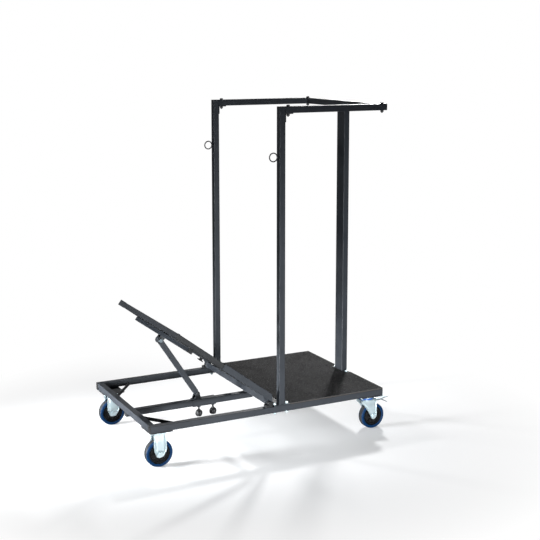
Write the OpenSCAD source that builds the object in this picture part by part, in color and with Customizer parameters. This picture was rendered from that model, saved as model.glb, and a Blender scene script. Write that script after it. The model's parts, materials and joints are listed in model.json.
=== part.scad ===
// Chair transport trolley: an open tube frame on four castors, a carpeted deck, three posts that carry
// a push rail, and a chair support that tilts on a prop and folds flat onto the frame.
// X runs along the trolley (+X is the deck end), -Y is the near side, Z = 0 is the floor.
// The origin lies on the floor, under the middle of the overall length and width.

/* [Frame] */
// Length of the base frame over its end caps
frame_l = 1200; // [1100:10:1300]
// Width of the base frame
frame_w = 740; // [700:10:800]
// Side of the square base tube
base_tube = 30; // [28:1:34]
// Wall of every steel tube
tube_wall = 2; // [1.5:0.1:2.2]
// Rounding of the tubes' outer edges
tube_round = 2.5; // [2.3:0.1:3]
// Distance from the rigid end of the frame to the cross bar
cross_bar_at = 634; // [610:2:660]
// Thickness of a plastic end cap
cap_t = 2; // [1:0.5:4]

/* [Corners] */
// Thickness of the corner plates that carry the castors
corner_t = 5; // [3:0.5:8]
// Length of a corner plate at the rigid end, along X
corner_l = 105; // [105:1:125]
// Width of every corner plate, along Y
corner_w = 115; // [105:1:130]
// Height of the diagonal corner stays
stay_h = 15; // [8:1:22]
// Thickness of the diagonal corner stays
stay_t = 5; // [3:0.5:8]

/* [Deck] */
// Thickness of the deck board
board_t = 4; // [3:0.5:8]
// Thickness of the carpet on the board
carpet_t = 2.5; // [1.5:0.5:5]

/* [Posts and push rail] */
// Overall height
total_h = 1582; // [1450:4:1700]
// Side of the square side posts
post_tube = 30; // [28:1:30]
// Width of the end post across the trolley
end_post_w = 70; // [50:2:90]
// Side of the square push rail tube
rail_tube = 30; // [26:1:30]
// Thickness of the posts' foot plates
foot_t = 4; // [3:0.5:6]
// Distance between the two bolts of a side post's foot
foot_pitch = 62; // [56:1:66]
// Leg of the angle brackets under the push rail
bracket_leg = 40; // [30:1:50]
// Height of the strap rings above the floor
ring_h = 1356; // [1200:2:1400]
// Outer diameter of a strap ring
ring_d = 44; // [36:1:54]
// Wire of a strap ring
ring_wire = 5.5; // [4:0.5:7]

/* [Chair support] */
// Slope of the chair support as it stands
support_tilt = 36.8; // [33:0.1:38]
// Length of the chair support from its hinge to its top edge
support_l = 597; // [560:1:600]
// Distance from the hinge to the cross bar
hinge_back = 42; // [38:1:46]
// Height of the hinge above the frame
hinge_up = 15; // [13:0.5:17]
// Side of the square outer tubes
outer_tube = 30; // [30:1:34]
// Side of the square sliding tubes, the spine and the hinge tube
inner_tube = 25; // [24:0.5:25]
// Side of the square bar that slides in the spine
core_tube = 20; // [18:0.5:20]
// Length of the outer tubes up the slope
outer_l = 316; // [280:1:340]
// Length of the spine up the slope
spine_l = 492; // [470:1:510]
// Travel of the extension
extension_travel = 150; // [100:5:160]

/* [Prop] */
// Length of the prop between its pivots
prop_l = 342; // [338:0.5:346]
// Drop of the upper prop pivot below the support's hinge line
prop_drop = 27; // [26:0.5:29]
// Length of the sliding sleeve
sleeve_l = 120; // [118:1:130]
// Side of the square guide rail
guide_tube = 30; // [28:1:30]
// Gap between the frame's underside and the guide rail
guide_drop = 5; // [4:0.5:8]
// Diameter of the pivot bolts
pivot_d = 10; // [8:0.5:12]
// Diameter of a clamp knob
knob_d = 36; // [30:1:38]

/* [Castors] */
// Height of a castor from the floor to the top of its plate
castor_h = 170; // [165:1:175]
// Diameter of the wheels
wheel_d = 125; // [120:1:127]
// Width of the wheels
wheel_w = 36; // [30:1:38]
// Thickness of the castor plates
plate_t = 5; // [4:0.5:6]
// Trail of the swivel castors
trail = 32; // [28:1:38]
// Diameter of the wheel axles
axle_d = 12; // [10:0.5:14]

/* [Hidden] */
$fn = 48;
near = "near";
far = "far";
// Clearance of a pin that turns in its bore, and of a fixed bolt in its hole
run_gap = 0.05;
fit_gap = 0.25;
// Depth of a cap's plug in its tube, and its clearance there
plug_l = 12;
plug_gap = 0.3;

// Bolts: one size for the frame and the castors
bolt_d = 8;
washer_t = 1.6;
bolt_head_h = 5.3;
nut_h = 6.5;
bolt_flats = 13;

// Castors
wheel_r = wheel_d / 2;
fork_t = 3;
fork_gap = wheel_w / 2 + 2.5;
castor_plate_l = 105;
castor_plate_w = 85;
castor_pitch_x = 80;
castor_pitch_y = 60;
castor_edge = 15;
swivel_inset = 60;
rigid_shift = 5;
fork_end_r = 15;
king_r = 7;
race_r = 30;
seal_t = 4;
cup_h = 6;
crown_t = 4;
crown_z = castor_h - plate_t - cup_h - 9;
pedal_pin_d = 8;
pedal_x = trail + 8;
pedal_z = crown_z - crown_t - 5;
pedal_reach = 87;
pedal_t = 3;
pedal_tip = trail + pedal_reach - pedal_x;
pedal_hub_r = 5.5;
rim_r = wheel_r - 13.5;

// Frame
frame_bottom = castor_h + corner_t;
frame_top = frame_bottom + base_tube;
left_over = wheel_r - corner_l / 2 - rigid_shift;
right_over = trail + pedal_reach - swivel_inset;
mid_x = (left_over - right_over) / 2;
left_x = mid_x - frame_l / 2;
right_x = mid_x + frame_l / 2;
side_y = frame_w / 2;
inner_y = side_y - base_tube;
rail_y = side_y - base_tube / 2;
post_y = side_y - post_tube / 2;
push_y = side_y - rail_tube / 2;
cross_x = left_x + cross_bar_at;
rigid_x = left_x + corner_l / 2 + rigid_shift;
swivel_x = right_x - swivel_inset;
swivel_corner_l = swivel_inset + castor_plate_l / 2;
castor_y = side_y - castor_edge - castor_plate_w / 2;
stay_x = 126;
stay_y = 175;

// Deck and posts
deck_x = cross_x + base_tube;
board_top = frame_top + board_t;
deck_top = board_top + carpet_t;
notch_gap = 1;
foot_edge = 10.5;
foot_l = foot_pitch + 2 * foot_edge;
foot_x = cross_x + post_tube / 2;
end_bolt_out = 18;
end_foot_edge = 15;
end_foot_pitch = end_post_w + 2 * end_bolt_out;
end_foot_l = end_foot_pitch + 2 * end_foot_edge;
end_post_x = right_x - post_tube / 2;
post_z = frame_top + foot_t;
rail_z = total_h - rail_tube;
bracket_w = 25;
bracket_t = 4;
post_cap_z = total_h - cap_t;

// Chair support: in its own frame x runs down the slope from the hinge and z stands square to it
hinge_x = cross_x - hinge_back;
hinge_z = frame_top + hinge_up;
hinge_pin_d = 10;
hinge_block_r = 9.8;
hinge_plate_t = 5;
hinge_plate_r = 11.5;
hinge_block_w = base_tube - 4;
hinge_pin_l = 26;
tube_gap = (outer_tube - 2 * tube_wall - inner_tube) / 2;
outer_low = 10.5;
slide_low = outer_low + tube_wall + tube_gap;
slide_y = side_y - outer_tube / 2;
slide_start = 100;
plumb_x = 6;
spine_low = inner_tube / 2;
core_start = 150;
core_low = spine_low + (inner_tube - core_tube) / 2;
cross_tube_h = 20;
cross_tube_w = 25;
cross_tube_y = 330;
screw_d = 8;
extension_knob_s = 238;
extension_knob_low = -6;

// Prop: its upper pivot on the support, its foot over the guide rail
pivot_s = spine_l - cross_tube_w / 2;
pivot_x = hinge_x - pivot_s * cos(support_tilt) - prop_drop * sin(support_tilt);
pivot_z = hinge_z + pivot_s * sin(support_tilt) - prop_drop * cos(support_tilt);
guide_top = frame_bottom - guide_drop;
guide_z = guide_top - guide_tube / 2;
guide_start = 20;
guide_over = 6;
guide_end_x = cross_x + base_tube + guide_over;
sleeve_wall = 2.5;
sleeve_gap = 0.5;
sleeve_out = guide_tube + 2 * (sleeve_wall + sleeve_gap);
sleeve_top = guide_z + sleeve_out / 2;
foot_z = sleeve_top + inner_tube + 1.5;
prop_angle = asin((pivot_z - foot_z) / prop_l);
prop_foot_x = pivot_x + prop_l * cos(prop_angle);
prop_end_r = 16;
cheek_t = 4;
cheek_gap = 0.5;
cheek_y = inner_tube / 2 + cheek_gap;
cheek_l = 36;
sleeve_offset = 35;
knob_x = [11, 85];
knob_h = 33;
knob_stem = 14;
nut_boss_h = 7;
nut_boss_flats = 16;
touch_sink = 0.3;

// Point where a line from p meets the circle of radius r round c, just inside its edge, on the side given
function touch(p, c, r, side) =
    let (v = c - p, d = norm(v), q = r - touch_sink, a = atan2(v.y, v.x) + side * asin(q / d))
    p + sqrt(d * d - q * q) * [cos(a), sin(a)];

// Rounded rectangle round the origin
module rounded(w, h, r) {
    square([w - 2 * r, h], center = true);
    square([w, h - 2 * r], center = true);
    for (x = [-1, 1], y = [-1, 1])
        translate([x * (w / 2 - r), y * (h / 2 - r)]) circle(r);
}

module tube_section(w, h, wall) {
    difference() {
        rounded(w, h, tube_round);
        rounded(w - 2 * wall, h - 2 * wall, max(tube_round - wall, 0.2));
    }
}

// Square tubes along each axis, from a to b, about the axis line
module tube_x(a, b, w, h, wall = tube_wall) {
    translate([a, 0, 0]) rotate([90, 0, 90]) linear_extrude(b - a) tube_section(w, h, wall);
}

module tube_y(a, b, w, h, wall = tube_wall) {
    translate([0, b, 0]) rotate([90, 0, 0]) linear_extrude(b - a) tube_section(w, h, wall);
}

module tube_z(a, b, w, h, wall = tube_wall) {
    translate([0, 0, a]) linear_extrude(b - a) tube_section(w, h, wall);
}

// Cylinder along Y between two places
module rod_y(a, b, r) {
    translate([0, b, 0]) rotate([90, 0, 0]) cylinder(h = b - a, r = r);
}

// Flat shape drawn in X and Z, given a thickness along Y
module plate_y(a, b) {
    translate([0, b, 0]) rotate([90, 0, 0]) linear_extrude(b - a) children();
}

// Hexagon across the flats
module hexagon(flats, h) {
    cylinder(h = h, r = flats / 2 / cos(30), $fn = 6);
}

// Plastic cap that closes a tube end: its face looks up, its plug hangs down
module tube_cap(w, h, wall = tube_wall) {
    linear_extrude(cap_t) rounded(w, h, tube_round);
    translate([0, 0, -plug_l]) linear_extrude(plug_l)
        square([w - 2 * (wall + plug_gap), h - 2 * (wall + plug_gap)], center = true);
}

// Bolt whose head rests at z = 0 and whose domed nut closes the grip below
module through_bolt(grip) {
    washer_r = bolt_d;
    cylinder(h = washer_t, r = washer_r);
    translate([0, 0, washer_t]) hexagon(bolt_flats, bolt_head_h);
    translate([0, 0, -grip - washer_t]) {
        cylinder(h = grip + washer_t, r = bolt_d / 2);
        cylinder(h = washer_t, r = washer_r);
        translate([0, 0, -nut_h]) hexagon(bolt_flats, nut_h);
        translate([0, 0, -nut_h]) sphere(bolt_d / 2 + 0.8);
    }
}

module bolt_hole(low, high) {
    translate([0, 0, low - 1]) cylinder(h = high - low + 2, r = bolt_d / 2 + fit_gap);
}

// What is drawn for the far side, or mirrored for the near side
module on_side(side) {
    if (side == near)
        mirror([0, 1, 0]) children();
    else
        children();
}

module on_both_sides() {
    for (side = [near, far])
        on_side(side) children();
}

// Places of the bolts that hold the posts' feet
module side_foot_places() {
    for (x = [-1, 1])
        translate([foot_x + x * foot_pitch / 2, rail_y, 0]) children();
}

module end_foot_places() {
    for (y = [-1, 1])
        translate([end_post_x, y * end_foot_pitch / 2, 0]) children();
}

// Places of the bolts through the push rail: over the bracket and at the corner
module bracket_bolt_place() {
    translate([deck_x + bracket_leg / 2, push_y, 0]) children();
}

module corner_bolt_place() {
    translate([right_x - rail_tube / 2 - 4, push_y, 0]) children();
}

module side_rail(side) {
    color("slategray")
        on_side(side)
            difference() {
                translate([0, rail_y, frame_bottom + base_tube / 2])
                    tube_x(left_x + cap_t, right_x - cap_t, base_tube, base_tube);
                side_foot_places() bolt_hole(frame_bottom, frame_top);
            }
}

module near_side_rail() {
    side_rail(near);
}

module far_side_rail() {
    side_rail(far);
}

module frame_cross_tube(x) {
    translate([x, 0, frame_bottom + base_tube / 2]) tube_y(-inner_y, inner_y, base_tube, base_tube);
}

module left_end_bar() {
    color("slategray") frame_cross_tube(left_x + base_tube / 2);
}

module right_end_bar() {
    color("slategray")
        difference() {
            frame_cross_tube(right_x - base_tube / 2);
            end_foot_places() bolt_hole(frame_bottom, frame_top);
        }
}

module cross_bar() {
    color("slategray") frame_cross_tube(cross_x + base_tube / 2);
}

module guide_rail() {
    color("dimgray")
        translate([0, 0, guide_z])
            tube_x(left_x + guide_start, guide_end_x, guide_tube, guide_tube);
}

// Spacers under the left end bar and the cross bar carry the guide rail
module guide_hangers() {
    color("black") {
        translate([left_x + guide_start, -guide_tube / 2, guide_top])
            cube([base_tube - guide_start, guide_tube, guide_drop]);
        translate([cross_x, -guide_tube / 2, guide_top]) cube([base_tube, guide_tube, guide_drop]);
    }
}

module tube_caps() {
    color("black") {
        on_both_sides() {
            translate([0, rail_y, frame_bottom + base_tube / 2]) {
                translate([left_x + cap_t, 0, 0]) rotate([0, -90, 0]) tube_cap(base_tube, base_tube);
                translate([right_x - cap_t, 0, 0]) rotate([0, 90, 0]) tube_cap(base_tube, base_tube);
            }
            translate([foot_x, post_y, post_cap_z]) tube_cap(post_tube, post_tube);
        }
        translate([left_x + guide_start, 0, guide_z]) rotate([0, -90, 0]) tube_cap(guide_tube, guide_tube);
        translate([guide_end_x, 0, guide_z]) rotate([0, 90, 0]) tube_cap(guide_tube, guide_tube);
    }
}

// Places of a castor's four plate bolts round the middle of its plate
module castor_bolt_places() {
    for (x = [-1, 1], y = [-1, 1])
        translate([x * castor_pitch_x / 2, y * castor_pitch_y / 2, 0]) children();
}

module castor_places() {
    for (x = [rigid_x, swivel_x])
        translate([x, castor_y, 0]) children();
}

module corner_plates() {
    color("black")
        on_both_sides()
            difference() {
                for (x = [left_x + corner_l / 2, right_x - swivel_corner_l / 2])
                    translate([x, side_y - corner_w / 2, castor_h + corner_t / 2])
                        cube([x < mid_x ? corner_l : swivel_corner_l, corner_w, corner_t], center = true);
                castor_places() castor_bolt_places() bolt_hole(castor_h, frame_bottom);
            }
}

// Flat bar on edge across a corner, cut to lie against both tubes
module corner_stay() {
    slant = norm([stay_x, stay_y]);
    linear_extrude(stay_h)
        polygon([
            [0, stay_y], [stay_x, 0],
            [stay_x + stay_t * slant / stay_y, 0], [0, stay_y + stay_t * slant / stay_x]
        ]);
}

module corner_stays() {
    color("dimgray")
        on_both_sides() {
            translate([left_x + base_tube, inner_y, frame_bottom]) mirror([0, 1, 0]) corner_stay();
            translate([right_x - base_tube, inner_y, frame_bottom]) rotate([0, 0, 180]) corner_stay();
        }
}

// One layer of the deck, cut out round the posts' feet
module deck_layer(z, t) {
    difference() {
        translate([deck_x, -side_y, z]) cube([right_x - deck_x, frame_w, t]);
        on_both_sides()
            translate([foot_x, rail_y, z + t / 2])
                cube([foot_l + 2 * notch_gap, base_tube + 2 * notch_gap, t + 2], center = true);
        translate([end_post_x, 0, z + t / 2])
            cube([post_tube + 2 * notch_gap, end_foot_l + 2 * notch_gap, t + 2], center = true);
    }
}

module deck_board() {
    color("dimgray") deck_layer(frame_top, board_t);
}

module deck_carpet() {
    color([0.2, 0.2, 0.21]) deck_layer(board_top, carpet_t);
}

// Side post: a square tube welded to a foot plate that two bolts hold to the side rail
module side_post(side) {
    color("slategray")
        on_side(side)
            difference() {
                union() {
                    translate([foot_x - foot_l / 2, rail_y - base_tube / 2, frame_top])
                        cube([foot_l, base_tube, foot_t]);
                    translate([foot_x, post_y, 0]) tube_z(post_z, post_cap_z, post_tube, post_tube);
                }
                side_foot_places() bolt_hole(frame_top, post_z);
            }
}

module near_post() {
    side_post(near);
}

module far_post() {
    side_post(far);
}

module end_post() {
    color("slategray")
        difference() {
            union() {
                translate([right_x - post_tube, -end_foot_l / 2, frame_top])
                    cube([post_tube, end_foot_l, foot_t]);
                translate([end_post_x, 0, 0]) tube_z(post_z, rail_z, post_tube, end_post_w);
            }
            end_foot_places() bolt_hole(frame_top, post_z);
        }
}

// Waste of a mitred end: half of the corner square of side w whose outer corner is at the origin
module mitre_waste(w, h, inside) {
    linear_extrude(h + 2, center = true)
        polygon(inside ? [[-w, -w], [1, -w - 1], [1, 1]] : [[-w, -w], [-w - 1, 1], [1, 1]]);
}

module side_push_bar(side) {
    color("slategray")
        on_side(side)
            difference() {
                translate([0, push_y, rail_z + rail_tube / 2]) tube_x(deck_x, right_x, rail_tube, rail_tube);
                translate([right_x, side_y, rail_z + rail_tube / 2])
                    mitre_waste(rail_tube, rail_tube, true);
                bracket_bolt_place() bolt_hole(rail_z, total_h);
                corner_bolt_place() bolt_hole(rail_z, total_h);
            }
}

module near_push_bar() {
    side_push_bar(near);
}

module far_push_bar() {
    side_push_bar(far);
}

module end_push_bar() {
    color("slategray")
        difference() {
            translate([right_x - rail_tube / 2, 0, rail_z + rail_tube / 2])
                tube_y(-side_y, side_y, rail_tube, rail_tube);
            on_both_sides() {
                translate([right_x, side_y, rail_z + rail_tube / 2])
                    mitre_waste(rail_tube, rail_tube, false);
                corner_bolt_place() bolt_hole(rail_z, total_h);
            }
        }
}

module push_bar_brackets() {
    color("dimgray")
        on_both_sides()
            difference() {
                translate([deck_x, push_y - bracket_w / 2, rail_z - bracket_leg]) {
                    cube([bracket_t, bracket_w, bracket_leg]);
                    translate([0, 0, bracket_leg - bracket_t]) cube([bracket_leg, bracket_w, bracket_t]);
                }
                bracket_bolt_place() bolt_hole(rail_z - bracket_t, rail_z);
            }
}

module frame_bolts() {
    color("silver") {
        on_both_sides() {
            side_foot_places() translate([0, 0, post_z]) through_bolt(foot_t + base_tube);
            bracket_bolt_place() translate([0, 0, total_h]) through_bolt(rail_tube + bracket_t);
            corner_bolt_place() translate([0, 0, total_h]) through_bolt(rail_tube);
        }
        end_foot_places() translate([0, 0, post_z]) through_bolt(foot_t + base_tube);
    }
}

// Round rings in the plane of the side posts, each on a small weld pad
module strap_rings() {
    ring_r = (ring_d - ring_wire) / 2;
    pad_l = 4;
    color("silver")
        on_both_sides()
            translate([cross_x - ring_d / 2 - pad_l / 2, post_y, ring_h]) {
                rotate([90, 0, 0]) rotate_extrude() translate([ring_r, 0]) circle(ring_wire / 2);
                translate([ring_r, 0, 0]) rotate([0, 90, 0])
                    cylinder(h = (ring_wire + pad_l) / 2, r = ring_wire / 2 + 1);
            }
}

// Bearing blocks on the side rails, with a blind bore for the support's hinge pins
module hinge_blocks() {
    block_l = 24;
    color("black")
        on_both_sides()
            difference() {
                union() {
                    translate([hinge_x - block_l, inner_y + 2, frame_top])
                        cube([block_l + hinge_block_r, hinge_block_w, hinge_up - 4]);
                    translate([hinge_x - hinge_block_r, inner_y + 2, frame_top])
                        cube([2 * hinge_block_r, hinge_block_w, hinge_up]);
                    translate([hinge_x, 0, hinge_z])
                        rod_y(inner_y + 2, inner_y + 2 + hinge_block_w, hinge_block_r);
                }
                translate([hinge_x, 0, hinge_z])
                    rod_y(inner_y + 1, inner_y + hinge_pin_l + 1, hinge_pin_d / 2 + run_gap);
            }
}

// Plates of all four castors; those of the swivel castors carry an upper race and a king pin
module castor_plates() {
    color("silver")
        on_both_sides() {
            difference() {
                castor_places()
                    translate([0, 0, castor_h - plate_t])
                        linear_extrude(plate_t) rounded(castor_plate_l, castor_plate_w, 8);
                castor_places() castor_bolt_places() bolt_hole(castor_h - plate_t, castor_h);
            }
            translate([swivel_x, castor_y, 0]) {
                translate([0, 0, castor_h - plate_t - cup_h]) cylinder(h = cup_h, r = race_r + seal_t + 1);
                translate([0, 0, crown_z - crown_t - 1]) cylinder(h = castor_h - crown_z, r = king_r);
                translate([0, 0, crown_z - crown_t - 3.5]) cylinder(h = 3, r = king_r + 4);
            }
        }
}

module castor_bolts() {
    color("silver")
        on_both_sides()
            castor_places()
                castor_bolt_places()
                    translate([0, 0, castor_h - plate_t]) {
                        cylinder(h = plate_t + corner_t, r = bolt_d / 2);
                        translate([0, 0, -bolt_head_h]) hexagon(bolt_flats, bolt_head_h);
                    }
}

// Side outline of a swivel fork's leg: a crown from x0 to x1 that tapers to a round end at the axle
module swivel_leg_outline(x0, x1, high, crown_h) {
    axle = [trail, wheel_r];
    low = high - crown_h;
    start = touch([x0, low], axle, fork_end_r, -1);
    end = touch([x1, low], axle, fork_end_r, 1);
    difference() {
        union() {
            polygon([[x0, high], [x0, low], start, axle, end, [x1, low], [x1, high]]);
            translate(axle) circle(fork_end_r);
        }
        translate(axle) circle(axle_d / 2 + fit_gap);
    }
}

// Side outline of a rigid fork's leg: straight down past the wheel's middle, then cut back under the axle
module rigid_leg_outline(half, high) {
    knee = 15;
    cut = 12;
    low = fork_end_r + 1;
    translate([0, wheel_r])
        difference() {
            polygon([
                [-half, high - wheel_r], [1 - half, knee], [-low, -cut], [4 - fork_end_r, -low],
                [fork_end_r - 4, -low], [low, -cut], [half - 1, knee], [half, high - wheel_r]
            ]);
            circle(axle_d / 2 + fit_gap);
        }
}

// Pressed ribs that stand proud of a leg's outer face
module leg_ribs(high, spread) {
    for (x = [-spread, spread])
        translate([x, wheel_r + fork_end_r + 2]) {
            translate([-1.5, 0]) square([3, high - wheel_r - fork_end_r - 8]);
            circle(1.5);
        }
}

// Two legs of the outline given, and the bridge between them
module fork_legs(x0, x1, high) {
    for (y = [fork_gap, -fork_gap - fork_t])
        plate_y(y, y + fork_t) children();
    translate([x0, -fork_gap, high - fork_t]) cube([x1 - x0, 2 * fork_gap, fork_t]);
}

module rigid_forks() {
    half = 30;
    top = castor_h - plate_t;
    color("silver")
        on_both_sides()
            translate([rigid_x, castor_y, 0]) {
                fork_legs(-half, half, top) rigid_leg_outline(half, top);
                for (y = [fork_gap + fork_t, -fork_gap - fork_t - 1])
                    plate_y(y, y + 1) leg_ribs(top, 12);
            }
}

// Axle bolt across a fork: head on one side, nut on the other
module wheel_axle() {
    outer = fork_gap + fork_t;
    rod_y(-outer, outer, axle_d / 2);
    translate([0, outer, 0]) rotate([-90, 0, 0]) hexagon(axle_d + 6, 7);
    translate([0, -outer, 0]) rotate([90, 0, 0]) hexagon(axle_d + 6, 7);
}

module rigid_axles() {
    color("silver") on_both_sides() translate([rigid_x, castor_y, wheel_r]) wheel_axle();
}

// Blue dust seals between the races of the swivel castors
module swivel_seals() {
    seal_h = castor_h - plate_t - cup_h - crown_z - 1;
    color("royalblue")
        on_both_sides()
            translate([swivel_x, castor_y, crown_z + 1])
                difference() {
                    cylinder(h = seal_h, r = race_r + seal_t + 0.5);
                    translate([0, 0, -1]) cylinder(h = seal_h + 2, r = race_r + 0.5);
                }
}

// Swivel fork: raked legs, a lower race on the crown and bores for the king pin, axle and pedal
module swivel_fork(side) {
    crown_left = -38;
    crown_right = trail + 16;
    race_h = castor_h - plate_t - cup_h - crown_z - 0.3;
    color("silver")
        on_side(side)
            translate([swivel_x, castor_y, 0])
                difference() {
                    union() {
                        fork_legs(crown_left, crown_right, crown_z)
                            swivel_leg_outline(crown_left, crown_right, crown_z, 16);
                        translate([0, 0, crown_z - crown_t])
                            cylinder(h = crown_t, r = race_r + seal_t);
                        translate([0, 0, crown_z]) cylinder(h = race_h, r = race_r);
                    }
                    translate([0, 0, crown_z - crown_t - 1])
                        cylinder(h = crown_t + race_h + 2, r = king_r + run_gap);
                    translate([pedal_x, 0, pedal_z])
                        rod_y(-fork_gap - fork_t - 1, fork_gap + fork_t + 1, pedal_pin_d / 2 + run_gap);
                }
}

module near_swivel_fork() {
    swivel_fork(near);
}

module far_swivel_fork() {
    swivel_fork(far);
}

module swivel_axle(side) {
    color("silver") on_side(side) translate([swivel_x + trail, castor_y, wheel_r]) wheel_axle();
}

module near_swivel_axle() {
    swivel_axle(near);
}

module far_swivel_axle() {
    swivel_axle(far);
}

// Brake pedal: a pin in the fork, an arm, a blade to press down and a blade to lift
module brake_pedal(side) {
    half_w = fork_gap - 1.5;
    arm_x = pedal_tip / 2;
    color("silver")
        on_side(side)
            translate([swivel_x + pedal_x, castor_y, pedal_z]) {
                rod_y(-fork_gap - fork_t, fork_gap + fork_t, pedal_pin_d / 2);
                plate_y(-half_w, half_w) {
                    circle(pedal_hub_r);
                    polygon([
                        [0, pedal_hub_r - 1], [arm_x, pedal_t + 1], [pedal_tip - 8, 10], [pedal_tip, 11],
                        [pedal_tip, 11 - pedal_t], [arm_x + 2, 0], [pedal_tip - 6, -18],
                        [pedal_tip - 8, -20], [arm_x - 3, -pedal_t], [0, 1 - pedal_hub_r]
                    ]);
                }
            }
}

module near_brake_pedal() {
    brake_pedal(near);
}

module far_brake_pedal() {
    brake_pedal(far);
}

// Profile of the tyre: a flat tread with round shoulders over a narrower bead
module tyre_profile() {
    shoulder = 5;
    half = wheel_w / 2;
    bead = half - 3;
    polygon([[rim_r, -bead], [wheel_r - shoulder, -half], [wheel_r - shoulder, half], [rim_r, bead]]);
    translate([wheel_r - shoulder, -half + shoulder]) square([shoulder, wheel_w - 2 * shoulder]);
    for (y = [-half + shoulder, half - shoulder])
        translate([wheel_r - shoulder, y]) circle(shoulder);
}

module tyre(x, side) {
    color("steelblue")
        on_side(side)
            translate([x, castor_y, wheel_r])
                rotate([90, 0, 0])
                    rotate_extrude()
                        tyre_profile();
}

// Hub: rim, web with a ridge, and a boss whose bore runs on the axle
module hub(x, side) {
    half = wheel_w / 2;
    bore_r = axle_d / 2 + run_gap;
    boss_r = axle_d / 2 + 9;
    color("dimgray")
        on_side(side)
            translate([x, castor_y, wheel_r])
                rotate([90, 0, 0])
                    rotate_extrude()
                        polygon([
                            [bore_r, -half - 1], [boss_r, -half - 1], [boss_r + 2, -half + 6],
                            [rim_r - 12, -half + 6], [rim_r - 10, -half + 3], [rim_r - 6, -half + 3],
                            [rim_r - 5, -half + 5], [rim_r, -half + 3], [rim_r, half - 3],
                            [rim_r - 5, half - 5], [rim_r - 6, half - 3], [rim_r - 10, half - 3],
                            [rim_r - 12, half - 6], [boss_r + 2, half - 6], [boss_r, half + 1],
                            [bore_r, half + 1]
                        ]);
}

module near_rigid_tyre() {
    tyre(rigid_x, near);
}

module far_rigid_tyre() {
    tyre(rigid_x, far);
}

module near_swivel_tyre() {
    tyre(swivel_x + trail, near);
}

module far_swivel_tyre() {
    tyre(swivel_x + trail, far);
}

module near_rigid_hub() {
    hub(rigid_x, near);
}

module far_rigid_hub() {
    hub(rigid_x, far);
}

module near_swivel_hub() {
    hub(swivel_x + trail, near);
}

module far_swivel_hub() {
    hub(swivel_x + trail, far);
}

// The support's own frame: x runs down the slope from the hinge axis, z stands square to it
module on_support() {
    translate([hinge_x, 0, hinge_z]) rotate([0, support_tilt, 0]) children();
}

// Square tube across the trolley, the welded side plates and the pins that turn in the blocks
module support_hinge_tube() {
    plate_up = outer_low + outer_tube - 4;
    plate_down = 40;
    low_end = touch([-plate_down, outer_low], [0, 0], hinge_plate_r, -1);
    high_end = touch([0, plate_up], [0, 0], hinge_plate_r, 1);
    color("slategray")
        on_support() {
            tube_y(-inner_y + hinge_plate_t, inner_y - hinge_plate_t, inner_tube, inner_tube);
            on_both_sides() {
                plate_y(inner_y - hinge_plate_t, inner_y) {
                    circle(hinge_plate_r);
                    polygon([
                        [0, 0], low_end, [-plate_down, outer_low], [-plate_down, plate_up],
                        [0, plate_up], high_end
                    ]);
                }
                rod_y(inner_y, inner_y + hinge_pin_l, hinge_pin_d / 2);
            }
        }
}

// Outer tube at the side of the support, cut plumb at its lower end
module outer_side_tube(side) {
    color("slategray")
        on_side(side)
            on_support()
                difference() {
                    translate([0, slide_y, outer_low + outer_tube / 2])
                        tube_x(-outer_l, outer_tube, outer_tube, outer_tube);
                    rotate([0, -support_tilt, 0])
                        translate([plumb_x, inner_y - 1, -2 * outer_tube])
                            cube([3 * outer_tube, outer_tube + 2, 5 * outer_tube]);
                }
}

module near_outer_tube() {
    outer_side_tube(near);
}

module far_outer_tube() {
    outer_side_tube(far);
}

// Spine up the middle, with a threaded boss for the extension's clamp
module support_spine() {
    color("slategray")
        on_support()
            difference() {
                union() {
                    translate([0, 0, spine_low + inner_tube / 2])
                        tube_x(-spine_l, inner_tube / 2, inner_tube, inner_tube);
                    translate([-extension_knob_s, 0, spine_low - nut_boss_h])
                        hexagon(nut_boss_flats, nut_boss_h);
                }
                translate([-extension_knob_s, 0, spine_low - nut_boss_h - 1])
                    cylinder(h = nut_boss_h + tube_wall + 1.5, r = screw_d / 2 + run_gap);
            }
}

module support_cross_tube() {
    color("dimgray")
        on_support()
            translate([-spine_l + cross_tube_w / 2, 0, spine_low - cross_tube_h / 2])
                tube_y(-cross_tube_y + cap_t, cross_tube_y - cap_t, cross_tube_w, cross_tube_h);
}

module cross_tube_caps() {
    color("black")
        on_support()
            on_both_sides()
                translate([-spine_l + cross_tube_w / 2, cross_tube_y - cap_t, spine_low - cross_tube_h / 2])
                    rotate([-90, 0, 0]) tube_cap(cross_tube_w, cross_tube_h);
}

// Fork-shaped lug under the cross tube, in which the prop's head turns
module prop_lug() {
    boss_r = pivot_d / 2 + 5.5;
    base = spine_low - cross_tube_h;
    left = touch([-spine_l, base], [-pivot_s, -prop_drop], boss_r, -1);
    right = touch([-pivot_s + 14, base], [-pivot_s, -prop_drop], boss_r, 1);
    color("black")
        on_support()
            on_both_sides()
                plate_y(cheek_y, cheek_y + cheek_t)
                    difference() {
                        union() {
                            polygon([
                                [-spine_l, base], left, [-pivot_s, -prop_drop], right,
                                [-pivot_s + 14, base]
                            ]);
                            translate([-pivot_s, -prop_drop]) circle(boss_r);
                        }
                        translate([-pivot_s, -prop_drop]) circle(pivot_d / 2 + fit_gap);
                    }
}

// Bolt with a head and a nut outside two cheeks
module cheek_bolt(d) {
    outer = cheek_y + cheek_t;
    rod_y(-outer, outer, d / 2);
    translate([0, outer, 0]) rotate([-90, 0, 0]) hexagon(1.6 * d, 0.6 * d);
    translate([0, -outer, 0]) rotate([90, 0, 0]) hexagon(1.6 * d, 0.6 * d);
}

module prop_bolt() {
    color("silver") on_support() translate([-pivot_s, 0, -prop_drop]) cheek_bolt(pivot_d);
}

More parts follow.
